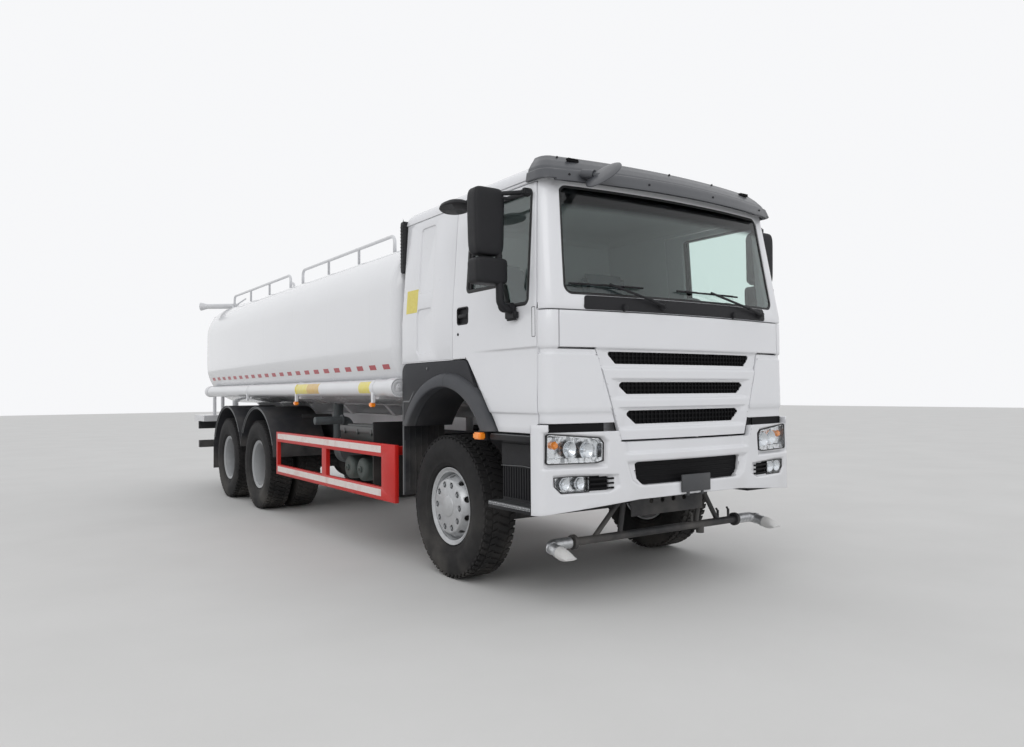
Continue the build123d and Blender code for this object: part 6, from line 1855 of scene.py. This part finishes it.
# The underrun bar and tail lamps: a dark box section that carries the lamps' housings, with red
# and amber lenses set on them.
refined("underrun_and_tail_lamps", chassis_paint, 0.004)
tail_red = Finish("tail_red", (0.45, 0.012, 0.012), Coat_Weight=0.8)
tail_red.gloss(60.0, 3.0, 0.15, 0.15)
tail_red.grain(240.0, 0.0, 0.001, 0.4)
for kind, finish, widths in (("red", tail_red, ((0.775, 0.955), (1.052, 1.135))),
                             ("amber", amber, ((0.962, 1.045),))):
    lenses = [sided("tail_lens", side, (width, (7.992, 8.004), (0.886, 0.984)), 0.006, 3)
              for side in (-1, 1) for width in widths]
    fitted("tail_lenses_" + kind, lenses, 40, finish, "lamp_glass")

# The front spray bar: a dark water pipe on struts, with a galvanized elbow and a white flattened
# nozzle at each end, and small valves on the far half.
spray_y, spray_z, spray_half, pipe_radius = aft(-1.105), 0.400, 0.900, 0.028
flange_profile = [(-0.012, pipe_radius - 0.003), (-0.012, 0.050), (0.012, 0.050),
                  (0.012, pipe_radius - 0.003)]
pipe_parts = [put(peg("pipe", pipe_radius, -spray_half - 0.02, spray_half + 0.02, 32),
                  (0, spray_y, spray_z))]
elbow_parts, nozzle_parts = [], []
for side in (-1, 1):
    pipe_parts += [rod_between("strut", (side * 0.385, aft(-1.150), 0.695),
                               (side * foot_x, spray_y + 0.008, spray_z + 0.016), 0.018, 16)
                   for foot_x in (0.385, 0.615)]
    pipe_parts.append(put(lathe("flange", flange_profile, 32),
                          (side * (spray_half - 0.09), spray_y, spray_z)))
    pipe_parts.append(slab("hanger_plate", (side * 0.385 - 0.040, aft(-1.175), 0.672),
                           (side * 0.385 + 0.040, aft(-1.120), 0.702), 0.003))
    bend, aim = Vector((side * (spray_half + 0.120), spray_y, spray_z)), Vector((0, -0.115, -0.024))
    mouth = bend + aim
    elbow_parts.append(tube_along("elbow", [(side * (spray_half - 0.060), spray_y, spray_z), bend,
                                            mouth], 0.038, 0.06, 28, 10))
    aim.normalize()
    elbow_parts += [rod_between("clamp", mouth - aim * back, mouth - aim * (back - 0.016),
                                0.0425, 28) for back in (0.085, 0.012)]
    flat_way = aim.cross(Vector((0, 0, 1))).normalized()
    tall_way = flat_way.cross(aim).normalized()
    nozzle_parts.append(closed_rows("beak", [
        [mouth + aim * reach + flat_way * flat * a + tall_way * tall * b for a, b in circle(36)]
        for reach, flat, tall in ((0.0, 0.040, 0.040), (0.040, 0.042, 0.042), (0.075, 0.044, 0.034),
                                  (0.105, 0.045, 0.020), (0.130, 0.044, 0.008))]))
for x in (0.33, 0.62, 0.74):
    pipe_parts.append(put(peg_along_z("valve", 0.010, 0.02, 0.085, 12), (x, spray_y, spray_z)))
    pipe_parts.append(rod_between("handle", (x, spray_y, spray_z + 0.08),
                                  (x - 0.05, spray_y - 0.03, spray_z + 0.105), 0.008, 12))
pipe_parts.append(put(peg_along_z("drain", 0.030, -0.065, 0.0, 20), (0.42, spray_y, spray_z)))
galvanized = Finish("galvanized", (0.55, 0.56, 0.57), Metallic=0.8)
spangle = galvanized.add("TexVoronoi", {"feature": "F1"}, {"Vector": galvanized.place,
                                                           "Scale": 45.0}, 1)
galvanized.colour((0.40, 0.41, 0.42), (0.66, 0.67, 0.68), spangle)
galvanized.gloss(25.0, 4.0, 0.3, 0.25)
galvanized.grain(70.0, 4.0, 0.001, 0.5)
nozzle_white = painted("nozzle_white", (0.70, 0.70, 0.69), 0.45, 0.35)
fitted("spray_pipe", pipe_parts, 40, chassis_paint, "bright_metal", "front_spray_bar")
fitted("spray_elbows", elbow_parts, 40, galvanized, "bright_metal")
fitted("spray_nozzles", nozzle_parts, 50, nozzle_white, "bright_metal")

# A plain yellow label stuck to the cab's kerb side, behind the pressed recesses.
label_yellow = Finish("label_yellow", (0.72, 0.60, 0.06), Coat_Weight=0.4)
label_yellow.colour((0.62, 0.50, 0.04), (0.80, 0.70, 0.16), label_yellow.noise(55.0, 3.0))
label_yellow.gloss(30.0, 3.0, 0.2, 0.35)
label_z = 2.155
label = slab("cab_label", (-0.0012, -0.095, -0.095), (0.002, 0.095, 0.095))
put(label, (-cab_level(label_z)[0], aft(0.525), label_z),
    math.atan2(cab_half - cab_top_half, roof_seam - cab_belt), "Y")
settle(label, "truck", label_yellow, "cab_paint")

# The place: a pale concrete floor under an even, overcast light, seen from where the truck was
# photographed. Only the camera sees the plain backdrop; the truck is lit by the sky itself.
floor_reach, photo_width, focal_pixels = 60.0, 1024, 790.33
camera_place = Vector((-4.1488, aft(-5.2760), 1.4056))
camera_yaw, camera_pitch, camera_roll = (math.radians(a) for a in (34.3675, 1.3845, -0.4396))
sky_strength = 0.94
backdrop_white = (0.93, 0.935, 0.95)

concrete = Finish("concrete_floor", (0.62, 0.615, 0.60))
concrete.colour((0.58, 0.575, 0.56), (0.66, 0.655, 0.64), concrete.noise(0.9, 8.0))
concrete.gloss(4.0, 3.0, 0.2, 0.7)
concrete.grain(60.0, 4.0, 0.002, 0.4)
form = bmesh.new()
bmesh.ops.create_grid(form, x_segments=2, y_segments=2, size=floor_reach)
floor = solid("studio_floor", form, False)
floor.data.materials.append(concrete.material)

world = bpy.data.worlds.new("overcast")
bpy.context.scene.world = world
world.use_nodes = True
world.node_tree.nodes.clear()
air = Nodes(world.node_tree)
height = air.add("SeparateXYZ", None, {0: air.add("TexCoord")}, 2)
greys = [(at, (grey * 0.985, grey * 0.995, grey * 1.02)) for at, grey in ((0.0, 0.80), (0.75, 1.0))]
sky = air.add("Background", None, {0: air.add("ValToRGB", {"stops": greys}, {0: height}),
                                   1: sky_strength})
backdrop = air.add("Background", None, {0: backdrop_white, 1: 1.0})
seen = air.add("LightPath", None, None, "Is Camera Ray")
for ray in ("Is Glossy Ray", "Is Transmission Ray"):
    seen = air.add("Math", {"use_clamp": True}, {0: seen, 1: air.add("LightPath", None, None, ray)})
air.add("OutputWorld", None, {0: air.add("MixShader", None, {0: seen, 1: sky, 2: backdrop})})

lamp = bpy.data.lights.new("soft_box", "AREA")
lamp.shape, lamp.size, lamp.size_y, lamp.energy = "RECTANGLE", 9.0, 6.0, 260.0
soft_box = bpy.data.objects.new("soft_box", lamp)
bpy.context.scene.collection.objects.link(soft_box)
soft_box.location = (-7.5, aft(-8.5), 8.5)
aim_at = Vector((0.0, aft(1.0), 1.4)) - soft_box.location
soft_box.rotation_euler = aim_at.to_track_quat("-Z", "Y").to_euler()

ahead = Vector((math.sin(camera_yaw) * math.cos(camera_pitch),
                math.cos(camera_yaw) * math.cos(camera_pitch), math.sin(camera_pitch)))
level = Vector((math.cos(camera_yaw), -math.sin(camera_yaw), 0.0))
upright = level.cross(ahead)
right = level * math.cos(camera_roll) + upright * math.sin(camera_roll)
top = upright * math.cos(camera_roll) - level * math.sin(camera_roll)
turn = Matrix((right, top, -ahead)).transposed().to_4x4()
lens = bpy.data.cameras.new("camera")
lens.sensor_width = 36.0
lens.lens = focal_pixels / photo_width * lens.sensor_width
camera = bpy.data.objects.new("camera", lens)
camera.matrix_world = Matrix.Translation(camera_place) @ turn
bpy.context.scene.collection.objects.link(camera)
bpy.context.scene.camera = camera
bpy.context.scene.view_settings.view_transform = "Standard"
